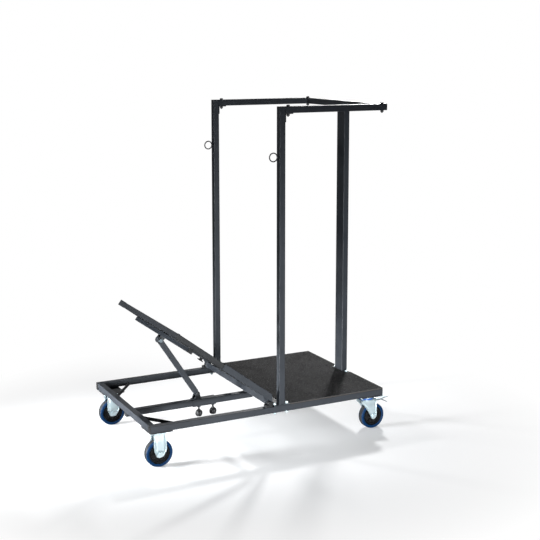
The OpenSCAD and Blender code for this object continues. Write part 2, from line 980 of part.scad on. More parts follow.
// Tube that slides out of an outer tube, mitred at the top corner
module slide_side_tube(side) {
    mid_z = slide_low + inner_tube / 2;
    color("slategray")
        on_side(side)
            on_support()
                difference() {
                    translate([0, slide_y, mid_z]) tube_x(-support_l, -slide_start, inner_tube, inner_tube);
                    translate([-support_l, slide_y + inner_tube / 2, mid_z])
                        mirror([1, 0, 0]) mitre_waste(inner_tube, inner_tube, true);
                }
}

module near_slide_tube() {
    slide_side_tube(near);
}

module far_slide_tube() {
    slide_side_tube(far);
}

module support_top_bar() {
    mid_z = slide_low + inner_tube / 2;
    end_y = slide_y + inner_tube / 2;
    color("slategray")
        on_support()
            difference() {
                translate([-support_l + inner_tube / 2, 0, mid_z]) tube_y(-end_y, end_y, inner_tube, inner_tube);
                on_both_sides()
                    translate([-support_l, end_y, mid_z])
                        mirror([1, 0, 0]) mitre_waste(inner_tube, inner_tube, false);
            }
}

module spine_core_bar() {
    color("dimgray")
        on_support()
            translate([0, 0, core_low + core_tube / 2])
                tube_x(-support_l + inner_tube, -core_start, core_tube, core_tube);
}

// T-shaped clamp screw of the extension, under the spine
module extension_knob() {
    color("black")
        on_support()
            translate([-extension_knob_s, 0, 0]) {
                translate([0, 0, extension_knob_low]) cylinder(h = 4, r = knob_d / 2);
                translate([0, 0, extension_knob_low]) cylinder(h = 9, r = 7);
                translate([0, 0, extension_knob_low])
                    cylinder(h = spine_low + tube_wall + 0.2 - extension_knob_low, r = screw_d / 2);
            }
}

// Prop from its upper pivot to its foot, with rounded solid ends
module prop_strut() {
    inset = 10;
    half = inner_tube / 2;
    color("slategray")
        translate([pivot_x, 0, pivot_z])
            rotate([0, prop_angle, 0])
                difference() {
                    union() {
                        tube_x(inset, prop_l - inset, inner_tube, inner_tube);
                        rod_y(-half, half, prop_end_r);
                        translate([prop_l, 0, 0]) rod_y(-half, half, half - 1);
                    }
                    for (x = [0, prop_l])
                        translate([x, 0, 0]) rod_y(-inner_tube, inner_tube, pivot_d / 2 + run_gap);
                }
}

// Outline of a foot cheek: a base along the sleeve that tapers to a round boss
module cheek_outline() {
    boss_r = pivot_d / 2 + 3;
    foot = [0, foot_z];
    base_z = sleeve_top + 2;
    root_z = sleeve_top - sleeve_wall / 2;
    left = touch([-cheek_l / 2, base_z], foot, boss_r, 1);
    right = touch([cheek_l / 2, base_z], foot, boss_r, -1);
    difference() {
        union() {
            polygon([
                [-cheek_l / 2, root_z], [-cheek_l / 2, base_z], left, foot, right,
                [cheek_l / 2, base_z], [cheek_l / 2, root_z]
            ]);
            translate(foot) circle(boss_r);
        }
        translate(foot) circle(pivot_d / 2 + fit_gap);
    }
}

// Sleeve on the guide rail, with the cheeks of the prop's foot and a threaded boss for each clamp
module prop_sleeve() {
    start = sleeve_offset - sleeve_l / 2;
    boss_z = guide_z - sleeve_out / 2 - nut_boss_h;
    color("slategray")
        translate([prop_foot_x, 0, 0])
            difference() {
                union() {
                    translate([0, 0, guide_z])
                        tube_x(start, start + sleeve_l, sleeve_out, sleeve_out, sleeve_wall);
                    on_both_sides() plate_y(cheek_y, cheek_y + cheek_t) cheek_outline();
                    for (x = knob_x)
                        translate([x, 0, boss_z]) hexagon(nut_boss_flats, nut_boss_h);
                }
                for (x = knob_x)
                    translate([x, 0, boss_z - 1])
                        cylinder(h = nut_boss_h + sleeve_wall + 1.3, r = screw_d / 2 + run_gap);
            }
}

// Stub bolts of the prop's foot: they end in the cheeks, so the foot stays free between them
module clevis_bolts() {
    color("silver")
        on_both_sides()
            translate([prop_foot_x, 0, foot_z]) {
                rod_y(cheek_y, cheek_y + cheek_t, pivot_d / 2);
                translate([0, cheek_y + cheek_t, 0]) rotate([-90, 0, 0]) hexagon(1.6 * pivot_d, 0.6 * pivot_d);
            }
}

// Star knob with a tapering collar and a screw that clamps the sleeve to the guide rail
module clamp_knob(x) {
    boss_z = guide_z - sleeve_out / 2 - nut_boss_h;
    lobes = 6;
    lobe_r = knob_d / 7;
    color("black")
        translate([prop_foot_x + x, 0, boss_z - knob_stem]) {
            translate([0, 0, -knob_h]) linear_extrude(knob_h - 6) {
                circle(knob_d / 2 - lobe_r);
                for (i = [0 : lobes - 1])
                    rotate(i * 360 / lobes) translate([knob_d / 2 - lobe_r, 0]) circle(lobe_r);
            }
            translate([0, 0, -6]) cylinder(h = 6 + knob_stem / 2, r = screw_d / 2 + 3);
            translate([0, 0, -6])
                cylinder(h = 6 + knob_stem + nut_boss_h + sleeve_wall + sleeve_gap - 0.3, r = screw_d / 2);
        }
}

module left_clamp_knob() {
    clamp_knob(knob_x[0]);
}

module right_clamp_knob() {
    clamp_knob(knob_x[1]);
}

near_side_rail();
far_side_rail();
left_end_bar();
right_end_bar();
cross_bar();
guide_rail();
guide_hangers();
tube_caps();
corner_plates();
corner_stays();
deck_board();
deck_carpet();
near_post();
far_post();
end_post();
near_push_bar();
far_push_bar();
end_push_bar();
push_bar_brackets();
frame_bolts();
strap_rings();
hinge_blocks();
castor_plates();
castor_bolts();
rigid_forks();
rigid_axles();
swivel_seals();
near_rigid_tyre();
near_rigid_hub();
far_rigid_tyre();
far_rigid_hub();
near_swivel_fork();
near_swivel_axle();
near_swivel_tyre();
near_swivel_hub();
near_brake_pedal();
far_swivel_fork();
far_swivel_axle();
far_swivel_tyre();
far_swivel_hub();
far_brake_pedal();
support_hinge_tube();
near_outer_tube();
far_outer_tube();
support_spine();
support_cross_tube();
cross_tube_caps();
prop_lug();
prop_bolt();
near_slide_tube();
far_slide_tube();
support_top_bar();
spine_core_bar();
extension_knob();
prop_strut();
prop_sleeve();
clevis_bolts();
left_clamp_knob();
right_clamp_knob();
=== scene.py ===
import json
import logging
import math
from abc import ABC, abstractmethod
from dataclasses import dataclass, field
from enum import Enum
from typing import Sequence

import bmesh
import bpy
import numpy as np
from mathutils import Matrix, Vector


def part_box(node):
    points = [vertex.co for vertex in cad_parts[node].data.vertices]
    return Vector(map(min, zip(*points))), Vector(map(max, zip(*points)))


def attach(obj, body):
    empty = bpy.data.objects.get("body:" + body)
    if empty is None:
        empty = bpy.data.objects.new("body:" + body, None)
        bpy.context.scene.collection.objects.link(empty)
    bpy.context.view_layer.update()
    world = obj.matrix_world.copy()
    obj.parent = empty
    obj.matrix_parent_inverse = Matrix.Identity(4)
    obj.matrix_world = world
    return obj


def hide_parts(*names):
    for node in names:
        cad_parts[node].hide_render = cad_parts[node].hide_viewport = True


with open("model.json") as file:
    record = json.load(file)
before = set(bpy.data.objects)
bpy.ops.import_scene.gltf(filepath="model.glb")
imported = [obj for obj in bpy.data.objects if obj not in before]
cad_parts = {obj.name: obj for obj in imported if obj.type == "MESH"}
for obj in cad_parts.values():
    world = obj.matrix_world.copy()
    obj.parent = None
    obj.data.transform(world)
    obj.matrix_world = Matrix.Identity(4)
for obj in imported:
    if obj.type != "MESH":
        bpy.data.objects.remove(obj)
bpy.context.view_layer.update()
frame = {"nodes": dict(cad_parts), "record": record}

LOG = logging.getLogger("trolley")
Pair = tuple[float, float]
Colour = tuple[float, float, float]
Grid = np.ndarray
SMOOTH_ANGLE = math.radians(38)
PILE_ANGLE = math.radians(70)
MERGE = 1e-6
POINT = 1e-7
WHITE = (1.0, 1.0, 1.0, 1.0)


class Slot(Enum):
    """The record's material slots, by the finish that they carry."""

    FRAME = "frame_paint"
    DARK = "dark_paint"
    ZINC = "zinc"
    PLASTIC = "black_plastic"
    BOARD = "deck_board"
    CARPET = "carpet"
    TYRE = "blue_rubber"
    HUB = "hub_plastic"
    SEAL = "blue_plastic"


class Side(Enum):
    """The trolley's two long sides, by the sign of Y."""

    NEAR = -1
    FAR = 1

    @property
    def word(self) -> str:
        """The side's name as the nodes spell it."""
        return self.name.lower()


# Shader nodes


class Nodes:
    """Lays nodes in an empty tree and joins them."""

    def __init__(self, tree: bpy.types.NodeTree) -> None:
        """Takes the node tree of a material or of the world, and empties it."""
        self.tree = tree
        self.tree.nodes.clear()

    def add(self, kind: str, inputs: dict | None = None, **settings) -> bpy.types.Node:
        """Adds a node, sets its properties and feeds its inputs.

        Args:
            kind: The node's Blender type.
            inputs: A socket or a plain value for each input, by name or index.
            settings: Properties of the node.

        Returns:
            The new node.
        """
        node = self.tree.nodes.new(kind)
        for key, value in settings.items():
            setattr(node, key, value)
        for key, value in (inputs or {}).items():
            if isinstance(value, bpy.types.NodeSocket):
                self.tree.links.new(value, node.inputs[key])
            else:
                node.inputs[key].default_value = value
        return node

    def spread(self, value, low: float, high: float, to_low: float = 0.0, to_high: float = 1.0):
        """Maps value from low..high to to_low..to_high and clamps it."""
        inputs = {
            "Value": value, "From Min": low, "From Max": high, "To Min": to_low, "To Max": to_high
        }
        return self.add("ShaderNodeMapRange", inputs, clamp=True).outputs["Result"]

    def math(self, operation: str, a, b=0.0):
        """One arithmetic step on two values."""
        return self.add("ShaderNodeMath", {0: a, 1: b}, operation=operation).outputs[0]

    def mixed(self, share, a: bpy.types.Node, b: bpy.types.Node) -> bpy.types.Node:
        """Mixes the shaders of two nodes; share 0 gives a and share 1 gives b."""
        return self.add("ShaderNodeMixShader", {0: share, 1: a.outputs[0], 2: b.outputs[0]})

    def rays(self) -> tuple[bpy.types.NodeSocket, bpy.types.NodeSocket]:
        """Whether a ray runs to the eye, also through clear stuff, and whether it is mirrored."""
        path = self.add("ShaderNodeLightPath").outputs
        seen = self.math("MAXIMUM", path["Is Camera Ray"], path["Is Transmission Ray"])
        return seen, path["Is Glossy Ray"]


class Shader(Nodes):
    """The nodes of one material over the object's own coordinates."""

    def __init__(self, name: str) -> None:
        """Starts a material of the given name."""
        self.material = bpy.data.materials.new(name)
        self.material.use_nodes = True
        super().__init__(self.material.node_tree)
        self.place = self.add("ShaderNodeTexCoord").outputs["Object"]

    def stretched(self, scale: Colour) -> bpy.types.NodeSocket:
        """Object coordinates multiplied axis by axis."""
        return self.add("ShaderNodeMapping", {"Vector": self.place, "Scale": scale}).outputs[0]

    def noise(self, scale: float, detail: float = 2.0, rough: float = 0.5, where=None):
        """Fractal noise from 0 to 1 over the object's coordinates."""
        inputs = {"Vector": where or self.place, "Scale": scale, "Detail": detail, "Roughness": rough}
        return self.add("ShaderNodeTexNoise", inputs).outputs["Fac"]

    def cells(self, scale: float, feature: str = "F1", where=None):
        """Distance inside Voronoi cells over the object's coordinates."""
        inputs = {"Vector": where or self.place, "Scale": scale}
        return self.add("ShaderNodeTexVoronoi", inputs, feature=feature).outputs["Distance"]

    def blend(self, share, a, b) -> bpy.types.NodeSocket:
        """Mixes two colours; share 0 gives a and share 1 gives b."""
        colours = [c if isinstance(c, bpy.types.NodeSocket) else (*c, 1.0) for c in (a, b)]
        inputs = {0: share, 6: colours[0], 7: colours[1]}
        return self.add("ShaderNodeMix", inputs, data_type="RGBA").outputs[2]

    def relief(self, height, depth: float, under=None) -> bpy.types.NodeSocket:
        """Bump normal of a height field of the given depth in metres."""
        inputs = {"Height": height, "Distance": depth, "Strength": 1.0}
        if under is not None:
            inputs["Normal"] = under
        return self.add("ShaderNodeBump", inputs).outputs[0]

    def close(self, **sockets) -> bpy.types.Material:
        """Feeds a Principled shader and joins it to the output.

        Args:
            sockets: A socket or a value for each input; an underscore stands for a space.

        Returns:
            The finished material.
        """
        inputs = {key.replace("_", " "): value for key, value in sockets.items()}
        for key in ("Base Color", "Specular Tint", "Sheen Tint"):
            if isinstance(inputs.get(key), tuple):
                inputs[key] = (*inputs[key], 1.0)
        surface = self.add("ShaderNodeBsdfPrincipled", inputs)
        self.add("ShaderNodeOutputMaterial", {"Surface": surface.outputs[0]})
        return self.material


# Finishes


@dataclass(frozen=True)
class Finish(ABC):
    """A finish of the trolley, which makes its material once."""

    name: str

    @abstractmethod
    def lay(self, shader: Shader) -> bpy.types.Material:
        """Lays the finish's nodes and returns its material."""

    def material(self) -> bpy.types.Material:
        """The finish's material, made on first use."""
        return bpy.data.materials.get(self.name) or self.lay(Shader(self.name))


@dataclass(frozen=True)
class PowderCoat(Finish):
    """Satin powder paint: two close greys, orange peel, a few pale rubs."""

    body: Colour
    deep: Colour
    rub: Colour
    sheen: Pair = (0.42, 0.56)

    def lay(self, shader: Shader) -> bpy.types.Material:
        """Clouds of the two greys under fine grain, with rubs where long noise peaks."""
        clouds = shader.spread(shader.noise(5.0, 4.0, 0.55), 0.32, 0.68)
        grain = shader.noise(1400.0, 1.0)
        tone = shader.blend(clouds, self.deep, self.body)
        speck = shader.math("MULTIPLY", shader.spread(grain, 0.55, 0.75), 0.35)
        tone = shader.blend(speck, tone, self.rub)
        streaks = shader.noise(1.0, 5.0, 0.7, shader.stretched((60.0, 60.0, 160.0)))
        worn = shader.math("MULTIPLY", shader.spread(streaks, 0.66, 0.78), 0.3)
        tone = shader.blend(worn, tone, self.rub)
        gloss = shader.spread(shader.noise(38.0, 3.0), 0.3, 0.7, *self.sheen)
        peel = shader.relief(shader.noise(420.0, 2.0), 0.00009)
        return shader.close(
            Base_Color=tone, Roughness=gloss, Specular_IOR_Level=0.5,
            Normal=shader.relief(grain, 0.00004, peel),
        )


@dataclass(frozen=True)
class ZincPlate(Finish):
    """Bright zinc: pale metal with a faint crystal pattern and brushed grain."""

    bright: Colour
    dull: Colour

    def lay(self, shader: Shader) -> bpy.types.Material:
        """Crystal cells tint the metal, stretched noise brushes it, clouds dull it."""
        crystal = shader.cells(210.0)
        clouds = shader.spread(shader.noise(24.0, 4.0, 0.6), 0.3, 0.72)
        tone = shader.blend(clouds, self.bright, self.dull)
        tint = shader.math("MULTIPLY", shader.spread(crystal, 0.1, 0.7), 0.1)
        tone = shader.blend(tint, tone, self.dull)
        brushed = shader.noise(1.0, 2.0, 0.5, shader.stretched((260.0, 260.0, 2600.0)))
        gloss = shader.spread(clouds, 0.0, 1.0, 0.34, 0.48)
        return shader.close(
            Base_Color=tone, Metallic=0.8, Roughness=gloss,
            Normal=shader.relief(brushed, 0.00003),
        )


@dataclass(frozen=True)
class MouldedPlastic(Finish):
    """Moulded nylon or polyethylene with spark-eroded grain and soft flow marks."""

    body: Colour
    pale: Colour
    roughness: float = 0.46
    shine: float = 0.35

    def lay(self, shader: Shader) -> bpy.types.Material:
        """Flow clouds between two shades under a fine eroded grain."""
        flow = shader.spread(shader.noise(30.0, 3.0, 0.6), 0.35, 0.7)
        grain = shader.cells(1500.0, "SMOOTH_F1")
        tone = shader.blend(flow, self.body, self.pale)
        gloss = shader.spread(flow, 0.0, 1.0, self.roughness - 0.05, self.roughness + 0.08)
        return shader.close(
            Base_Color=tone, Roughness=gloss, Specular_IOR_Level=self.shine,
            Normal=shader.relief(grain, 0.00004),
        )


@dataclass(frozen=True)
class ElasticRubber(Finish):
    """Cast rubber: a clean tone, a dusty tone, and pores."""

    clean: Colour
    dusty: Colour
    dust: float

    def lay(self, shader: Shader) -> bpy.types.Material:
        """Dust gathers in clouds over the clean tone, and pores roughen the surface."""
        clouds = shader.spread(shader.noise(45.0, 5.0, 0.65), 0.36, 0.66, 0.0, self.dust)
        pores = shader.noise(2200.0, 2.0, 0.6)
        tone = shader.blend(clouds, self.clean, self.dusty)
        gloss = shader.spread(clouds, 0.0, 1.0, 0.5, 0.78)
        return shader.close(
            Base_Color=tone, Roughness=gloss, Specular_IOR_Level=0.1,
            Normal=shader.relief(pores, 0.00006),
        )


@dataclass(frozen=True)
class CarpetPile(Finish):
    """Short dark needle felt with lighter fibres and a dusty sheen."""

    deep: Colour
    fibre: Colour
    fleck: Colour

    def lay(self, shader: Shader) -> bpy.types.Material:
        """Tufts between the fibre and the deep tone, flecks where fine noise peaks."""
        tufts = shader.noise(300.0, 4.0, 0.75)
        patches = shader.noise(16.0, 3.0, 0.5)
        hairs = shader.noise(1.0, 2.0, 0.6, shader.stretched((560.0, 190.0, 400.0)))
        tone = shader.blend(shader.spread(tufts, 0.36, 0.64), self.deep, self.fibre)
        fleck = shader.spread(hairs, 0.58, 0.74, 0.0, 0.75)
        tone = shader.blend(fleck, tone, self.fleck)
        walked = shader.spread(patches, 0.4, 0.7, 0.0, 0.35)
        tone = shader.blend(walked, tone, self.fibre)
        pile = shader.relief(tufts, 0.0012)
        return shader.close(
            Base_Color=tone, Roughness=0.95, Specular_IOR_Level=0.04,
            Normal=shader.relief(hairs, 0.0005, pile),
        )


@dataclass(frozen=True)
class FilmBoard(Finish):
    """Film-faced board: a dark skin with thin plies along its cut edge."""

    skin: Colour
    ply: Colour
    ply_t: float = 0.0013

    def lay(self, shader: Shader) -> bpy.types.Material:
        """Bands along Z show the plies, and stretched noise gives them wood grain."""
        height = shader.add("ShaderNodeSeparateXYZ", {0: shader.place}).outputs[2]
        layer = shader.math("PINGPONG", height, self.ply_t)
        bands = shader.spread(layer, 0.25 * self.ply_t, 0.75 * self.ply_t, 0.0, 0.8)
        wood = shader.noise(1.0, 4.0, 0.6, shader.stretched((35.0, 35.0, 900.0)))
        tone = shader.blend(bands, self.skin, self.ply)
        tone = shader.blend(shader.spread(wood, 0.4, 0.75, 0.0, 0.5), tone, self.skin)
        return shader.close(
            Base_Color=tone, Roughness=0.62, Normal=shader.relief(wood, 0.0002)
        )


FINISHES: dict[Slot, Finish] = {
    Slot.FRAME: PowderCoat(
        "anthracite_powder", (0.0145, 0.0178, 0.0235), (0.0095, 0.012, 0.0165), (0.054, 0.063, 0.078)
    ),
    Slot.DARK: PowderCoat(
        "black_powder", (0.013, 0.014, 0.016), (0.008, 0.008, 0.01), (0.06, 0.062, 0.066)
    ),
    Slot.ZINC: ZincPlate("bright_zinc", (0.62, 0.71, 0.73), (0.46, 0.56, 0.59)),
    Slot.PLASTIC: MouldedPlastic("black_nylon", (0.006, 0.006, 0.0065), (0.012, 0.012, 0.013)),
    Slot.BOARD: FilmBoard("film_board", (0.014, 0.013, 0.013), (0.07, 0.05, 0.036)),
    Slot.CARPET: CarpetPile(
        "needle_felt", (0.01, 0.01, 0.0105), (0.085, 0.084, 0.085), (0.36, 0.355, 0.35)
    ),
    Slot.TYRE: ElasticRubber("blue_elastic", (0.0003, 0.018, 0.06), (0.004, 0.022, 0.06), 0.2),
    Slot.HUB: MouldedPlastic("hub_nylon", (0.003, 0.0031, 0.0035), (0.007, 0.0073, 0.008), 0.26, 0.3),
    Slot.SEAL: MouldedPlastic("blue_seal", (0.012, 0.07, 0.28), (0.02, 0.1, 0.34), 0.4),
}
TREAD = ElasticRubber("grey_tread", (0.018, 0.0195, 0.021), (0.036, 0.036, 0.037), 0.8)
# Darker zinc: painted shade on the brake pedals, and a darker head on the prop bolt.
DARK_AND_SHADED_ZINC = ZincPlate("dark_and_shaded_zinc", (0.24, 0.28, 0.3), (0.13, 0.16, 0.18))
# Near-black powder: painted shade on the slide tubes and the spine of the chair support.
SHADE_POWDER = PowderCoat("shaded_powder", (0.004, 0.0045, 0.0055), (0.003, 0.0033, 0.004), (0.02, 0.022, 0.025))
WELD = PowderCoat(
    "painted_weld", (0.018, 0.021, 0.025), (0.012, 0.014, 0.018), (0.065, 0.072, 0.08), (0.3, 0.44)
)


# Surfaces on grids


def smooth_step(value: Grid, low: float, high: float) -> Grid:
    """Rises from 0 at low to 1 at high along 3t^2 - 2t^3."""
    t = np.clip((value - low) / (high - low), 0.0, 1.0)
    return t * t * (3.0 - 2.0 * t)


def full_turn(steps: int) -> Grid:
    """Even angles once round, in radians."""
    return np.linspace(0.0, 2.0 * np.pi, steps, endpoint=False)


def rectangle(low: Sequence[float], high: Sequence[float]) -> list[Pair]:
    """The corners of a rectangle in order, from its low and its high corner."""
    return [(low[0], low[1]), (high[0], low[1]), (high[0], high[1]), (low[0], high[1])]


def grid_faces(rows: int, cols: int, ring_rows: bool, ring_cols: bool) -> Grid:
    """Quads between neighbouring points of a grid.

    Args:
        rows: Points along the first parameter.
        cols: Points along the second parameter.
        ring_rows: Whether the last row joins the first.
        ring_cols: Whether the last column joins the first.

    Returns:
        An array of vertex indices, four for each face.
    """
    r = np.arange(rows if ring_rows else rows - 1)[:, None]
    c = np.arange(cols if ring_cols else cols - 1)[None, :]
    r2, c2 = (r + 1) % rows, (c + 1) % cols
    corners = (r * cols + c, r2 * cols + c, r2 * cols + c2, r * cols + c2)
    return np.stack([np.broadcast_to(q, (r.size, c.size)).ravel() for q in corners], axis=1)


@dataclass
class Patch:
    """One grid of points, rows by columns by three, that may close on itself."""

    points: Grid
    ring_rows: bool = False
    ring_cols: bool = False
    row_finish: Grid | None = None

    def faces(self) -> Grid:
        """The patch's quads."""
        rows, cols = self.points.shape[:2]
        return grid_faces(rows, cols, self.ring_rows, self.ring_cols)

    def finishes(self) -> Grid:
        """The finish number of each quad."""
        count = len(self.faces())
        if self.row_finish is None:
            return np.zeros(count, int)
        return np.repeat(self.row_finish, count // len(self.row_finish))


def sweep_round(profile: Grid, turns: int, centre: Sequence[float], axis: str = "y") -> Grid:
    """Carries a profile round an axis through centre.

    A profile point (r, h) lands at h along the axis and at r (cos a, sin a) across it.

    Args:
        profile: Points of radius and height, in metres.
        turns: Steps round the axis.
        centre: The point that the axis passes through.
        axis: The letter y or z.

    Returns:
        Points, profile rows by turns by three.
    """
    angle = full_turn(turns)[None, :]
    r, h = profile[:, :1], np.broadcast_to(profile[:, 1:2], (len(profile), turns))
    a, b = r * np.cos(angle), r * np.sin(angle)
    order = (a, h, b) if axis == "y" else (a, b, h)
    return np.stack(order, axis=-1) + np.asarray(centre)


def put(name: str, data: bpy.types.ID) -> bpy.types.Object:
    """Adds an object with the given mesh, light or camera to the scene."""
    thing = bpy.data.objects.new(name, data)
    bpy.context.scene.collection.objects.link(thing)
    return thing


def new_mesh(name: str, points: Grid, faces: Grid) -> bpy.types.Mesh:
    """Makes a mesh of points and faces."""
    mesh = bpy.data.meshes.new(name)
    mesh.from_pydata(points, [], faces)
    return mesh


def place_piece(
    mesh: bpy.types.Mesh, body: str, slot: Slot, nodes: Sequence[str] = (),
    finishes: Sequence[Finish] = (), angle: float = SMOOTH_ANGLE,
) -> bpy.types.Object:
    """Smooths a mesh and lets it ride on a body as the piece of its name.

    Args:
        mesh: The piece's mesh.
        body: The CAD body that carries it.
        slot: The record's material slot that it belongs to.
        nodes: The CAD nodes that it stands for.
        finishes: Its finishes by the finish numbers of its faces, or none for the slot's own.
        angle: The bend from which an edge is sharp.

    Returns:
        The new object.
    """
    mesh.polygons.foreach_set("use_smooth", np.ones(len(mesh.polygons), bool))
    mesh.set_sharp_from_angle(angle=angle)
    for finish in finishes or (FINISHES[slot],):
        mesh.materials.append(finish.material())
    piece = put(mesh.name, mesh)
    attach(piece, body)
    if nodes:
        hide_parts(*nodes)
    count = len(mesh.vertices), len(mesh.polygons)
    LOG.info("%s: %d points, %d faces, rides on %s", mesh.name, *count, body)
    return piece


def make_piece(
    name: str, patches: Sequence[Patch], body: str, slot: Slot, nodes: Sequence[str] = (),
    finishes: Sequence[Finish] = (),
) -> None:
    """Joins patches into one closed piece; the arguments are those of place_piece."""
    starts = np.cumsum([0] + [p.points.shape[0] * p.points.shape[1] for p in patches])
    points = np.concatenate([p.points.reshape(-1, 3) for p in patches])
    faces = np.concatenate([p.faces() + s for p, s in zip(patches, starts)])
    mesh = new_mesh(name, points, faces)
    mesh.polygons.foreach_set("material_index", np.concatenate([p.finishes() for p in patches]))
    shell = bmesh.new()
    shell.from_mesh(mesh)
    bmesh.ops.remove_doubles(shell, verts=shell.verts, dist=MERGE)
    bmesh.ops.recalc_face_normals(shell, faces=shell.faces)
    shell.to_mesh(mesh)
    shell.free()
    place_piece(mesh, body, slot, nodes, finishes)


def middle(node: str) -> Grid:
    """The middle of a CAD node's box."""
    low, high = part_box(node)
    return (np.array(low) + np.array(high)) / 2


def node_points(node: str) -> Grid:
    """The vertices of a CAD node, one row each."""
    mesh = frame["nodes"][node].data
    points = np.empty(len(mesh.vertices) * 3)
    mesh.vertices.foreach_get("co", points)
    return points.reshape(-1, 3)


@dataclass(frozen=True)
class Slope:
    """Axes tilted about Y: x runs down the slope, and z stands square to it."""

    tilt: float = 0.0

    @property
    def axes(self) -> Grid:
        """The slope's x, y and z axes as rows."""
        c, s = math.cos(math.radians(self.tilt)), math.sin(math.radians(self.tilt))
        return np.array([(c, 0.0, -s), (0.0, 1.0, 0.0), (s, 0.0, c)])

    def to_world(self, points: Grid) -> Grid:
        """Turns points on the slope into points of the shared frame."""
        return np.asarray(points) @ self.axes

    def box(self, node: str) -> tuple[Grid, Grid]:
        """Low and high corner of a CAD node along the slope's axes."""
        points = node_points(node) @ self.axes.T
        return points.min(0), points.max(0)


SUPPORT_SLOPE = Slope(36.8)


# Wheels


@dataclass
class Wheel:
    """An elastic tyre on a ribbed nylon hub."""

    name: str
    body: str
    radius: float = 0.0625
    half: float = 0.018
    rim: float = 0.049
    bore: float = 0.00605
    tread_half: float = 0.0126
    tread_drop: float = 0.0022
    shoulder: float = 0.005
    bead_in: float = 0.0032
    flank_ring: float = 0.0005
    ring_at: Pair = (0.45, 0.09)
    groove: float = 0.0007
    groove_y: float = 0.0068
    cap: float = 0.0009
    cap_r: Pair = (0.0118, 0.0126)
    boss: float = 0.019
    boss_step: float = 0.0085
    boss_r: Pair = (0.0152, 0.0172)
    rib_h: float = 0.0168
    rib_fall: float = 0.06
    rib_from: float = 0.015
    rib_half: Pair = (0.0012, 0.0021)
    rib_r: Pair = (0.0155, 0.0375)
    ridge: float = 0.0048
    ridge_r: tuple[float, float, float, float] = (0.036, 0.0385, 0.0425, 0.0445)
    lip: float = 0.0046
    lip_r: Pair = (0.0452, 0.0478)
    ribs: int = 8
    turns: int = 120

    def tyre_profile(self) -> Grid:
        """Closed outline of the tyre.

        The flank climbs from the bead with a moulded ring on it, a quarter circle makes the
        shoulder, and the tread is a flat arch with two fine grooves.
        """
        shoulder, bead = self.shoulder, self.half - self.bead_in
        t = np.linspace(0.0, 1.0, 15)
        ring = self.flank_ring * np.exp(-(((t - self.ring_at[0]) / self.ring_at[1]) ** 2))
        flank = np.stack([
            self.rim + t * (self.radius - shoulder - self.rim),
            bead + smooth_step(t, 0.0, 0.9) * (self.half - bead) + ring,
        ], axis=1)
        a = np.linspace(0.0, np.pi / 2, 8)[1:]
        arc = np.stack([
            self.radius - shoulder + shoulder * np.sin(a),
            self.half - shoulder + shoulder * np.cos(a),
        ], axis=1)
        y = np.linspace(self.half - shoulder, 0.0, 22)[1:-1]
        groove = self.groove * np.exp(-(((y - self.groove_y) / self.groove) ** 2))
        tread = np.stack([self.radius - groove, y], axis=1)
        half = np.concatenate([flank, arc, tread])
        mirror = half[::-1] * (1.0, -1.0)
        return np.concatenate([half, mirror])

    def tyre(self) -> None:
        """Builds the tyre with blue flanks and a grey tread."""
        profile = self.tyre_profile()
        points = sweep_round(profile, self.turns, middle(f"{self.name}_tyre"))
        following = np.roll(profile, -1, axis=0)
        high = np.minimum(profile[:, 0], following[:, 0]) > self.radius - self.tread_drop
        on_tread = high & (np.abs(profile[:, 1] + following[:, 1]) < 2 * self.tread_half)
        patch = Patch(points, True, True, row_finish=on_tread.astype(int))
        finishes, node = (FINISHES[Slot.TYRE], TREAD), f"{self.name}_tyre"
        make_piece(f"{self.name}_cast_tyre", [patch], self.body, Slot.TYRE, [node], finishes)

    def hub_face(self, radius: Grid, angle: Grid) -> Grid:
        """Height of a hub's face over its mid plane.

        The boss stands proud, the web lies deep between the ribs, and a ridge runs round
        under the rim. A rib's height falls towards the ridge, and its width is constant.
        """
        boss = self.boss - self.boss_step * smooth_step(radius, *self.boss_r)
        inner, outer = self.ridge_r[:2], self.ridge_r[2:]
        ridge = self.ridge * (smooth_step(radius, *inner) - smooth_step(radius, *outer))
        lip = self.lip * smooth_step(radius, *self.lip_r)
        web = boss + ridge + lip
        across = radius * np.abs(np.sin(self.ribs * angle / 2)) * 2 / self.ribs
        rib_top = self.rib_h - self.rib_fall * np.maximum(radius - self.rib_from, 0.0)
        rib = rib_top * (1.0 - smooth_step(across, *self.rib_half))
        inside = (radius > self.rib_r[0]) & (radius < self.rib_r[1])
        cap = self.cap * (1.0 - smooth_step(radius, *self.cap_r))
        return np.where(inside, np.maximum(web, rib), web) + cap

    def hub(self) -> None:
        """Builds the hub: two faces joined at the bore and under the tyre."""
        runs = (
            (self.bore, 0.0118, 4), (0.0122, 0.015, 4), (0.0155, 0.0175, 6), (0.019, 0.0355, 10),
            (0.036, 0.0385, 6), (0.040, 0.0422, 3), (0.0425, 0.0478, 9), (self.rim, self.rim, 1),
        )
        radius = np.concatenate([np.linspace(*run) for run in runs])[:, None]
        angle = full_turn(2 * self.turns)[None, :]
        height = self.hub_face(radius, angle)
        near = np.stack([radius * np.cos(angle), height, radius * np.sin(angle)], axis=-1)
        far = near[::-1] * (1.0, -1.0, 1.0)
        points = np.concatenate([near, far]) + middle(f"{self.name}_hub")
        patch, node = Patch(points, True, True), f"{self.name}_hub"
        make_piece(f"{self.name}_ribbed_hub", [patch], self.body, Slot.HUB, [node])

    def build(self) -> None:
        """Builds the tyre and the hub."""
        self.tyre()
        self.hub()


# Castor forks


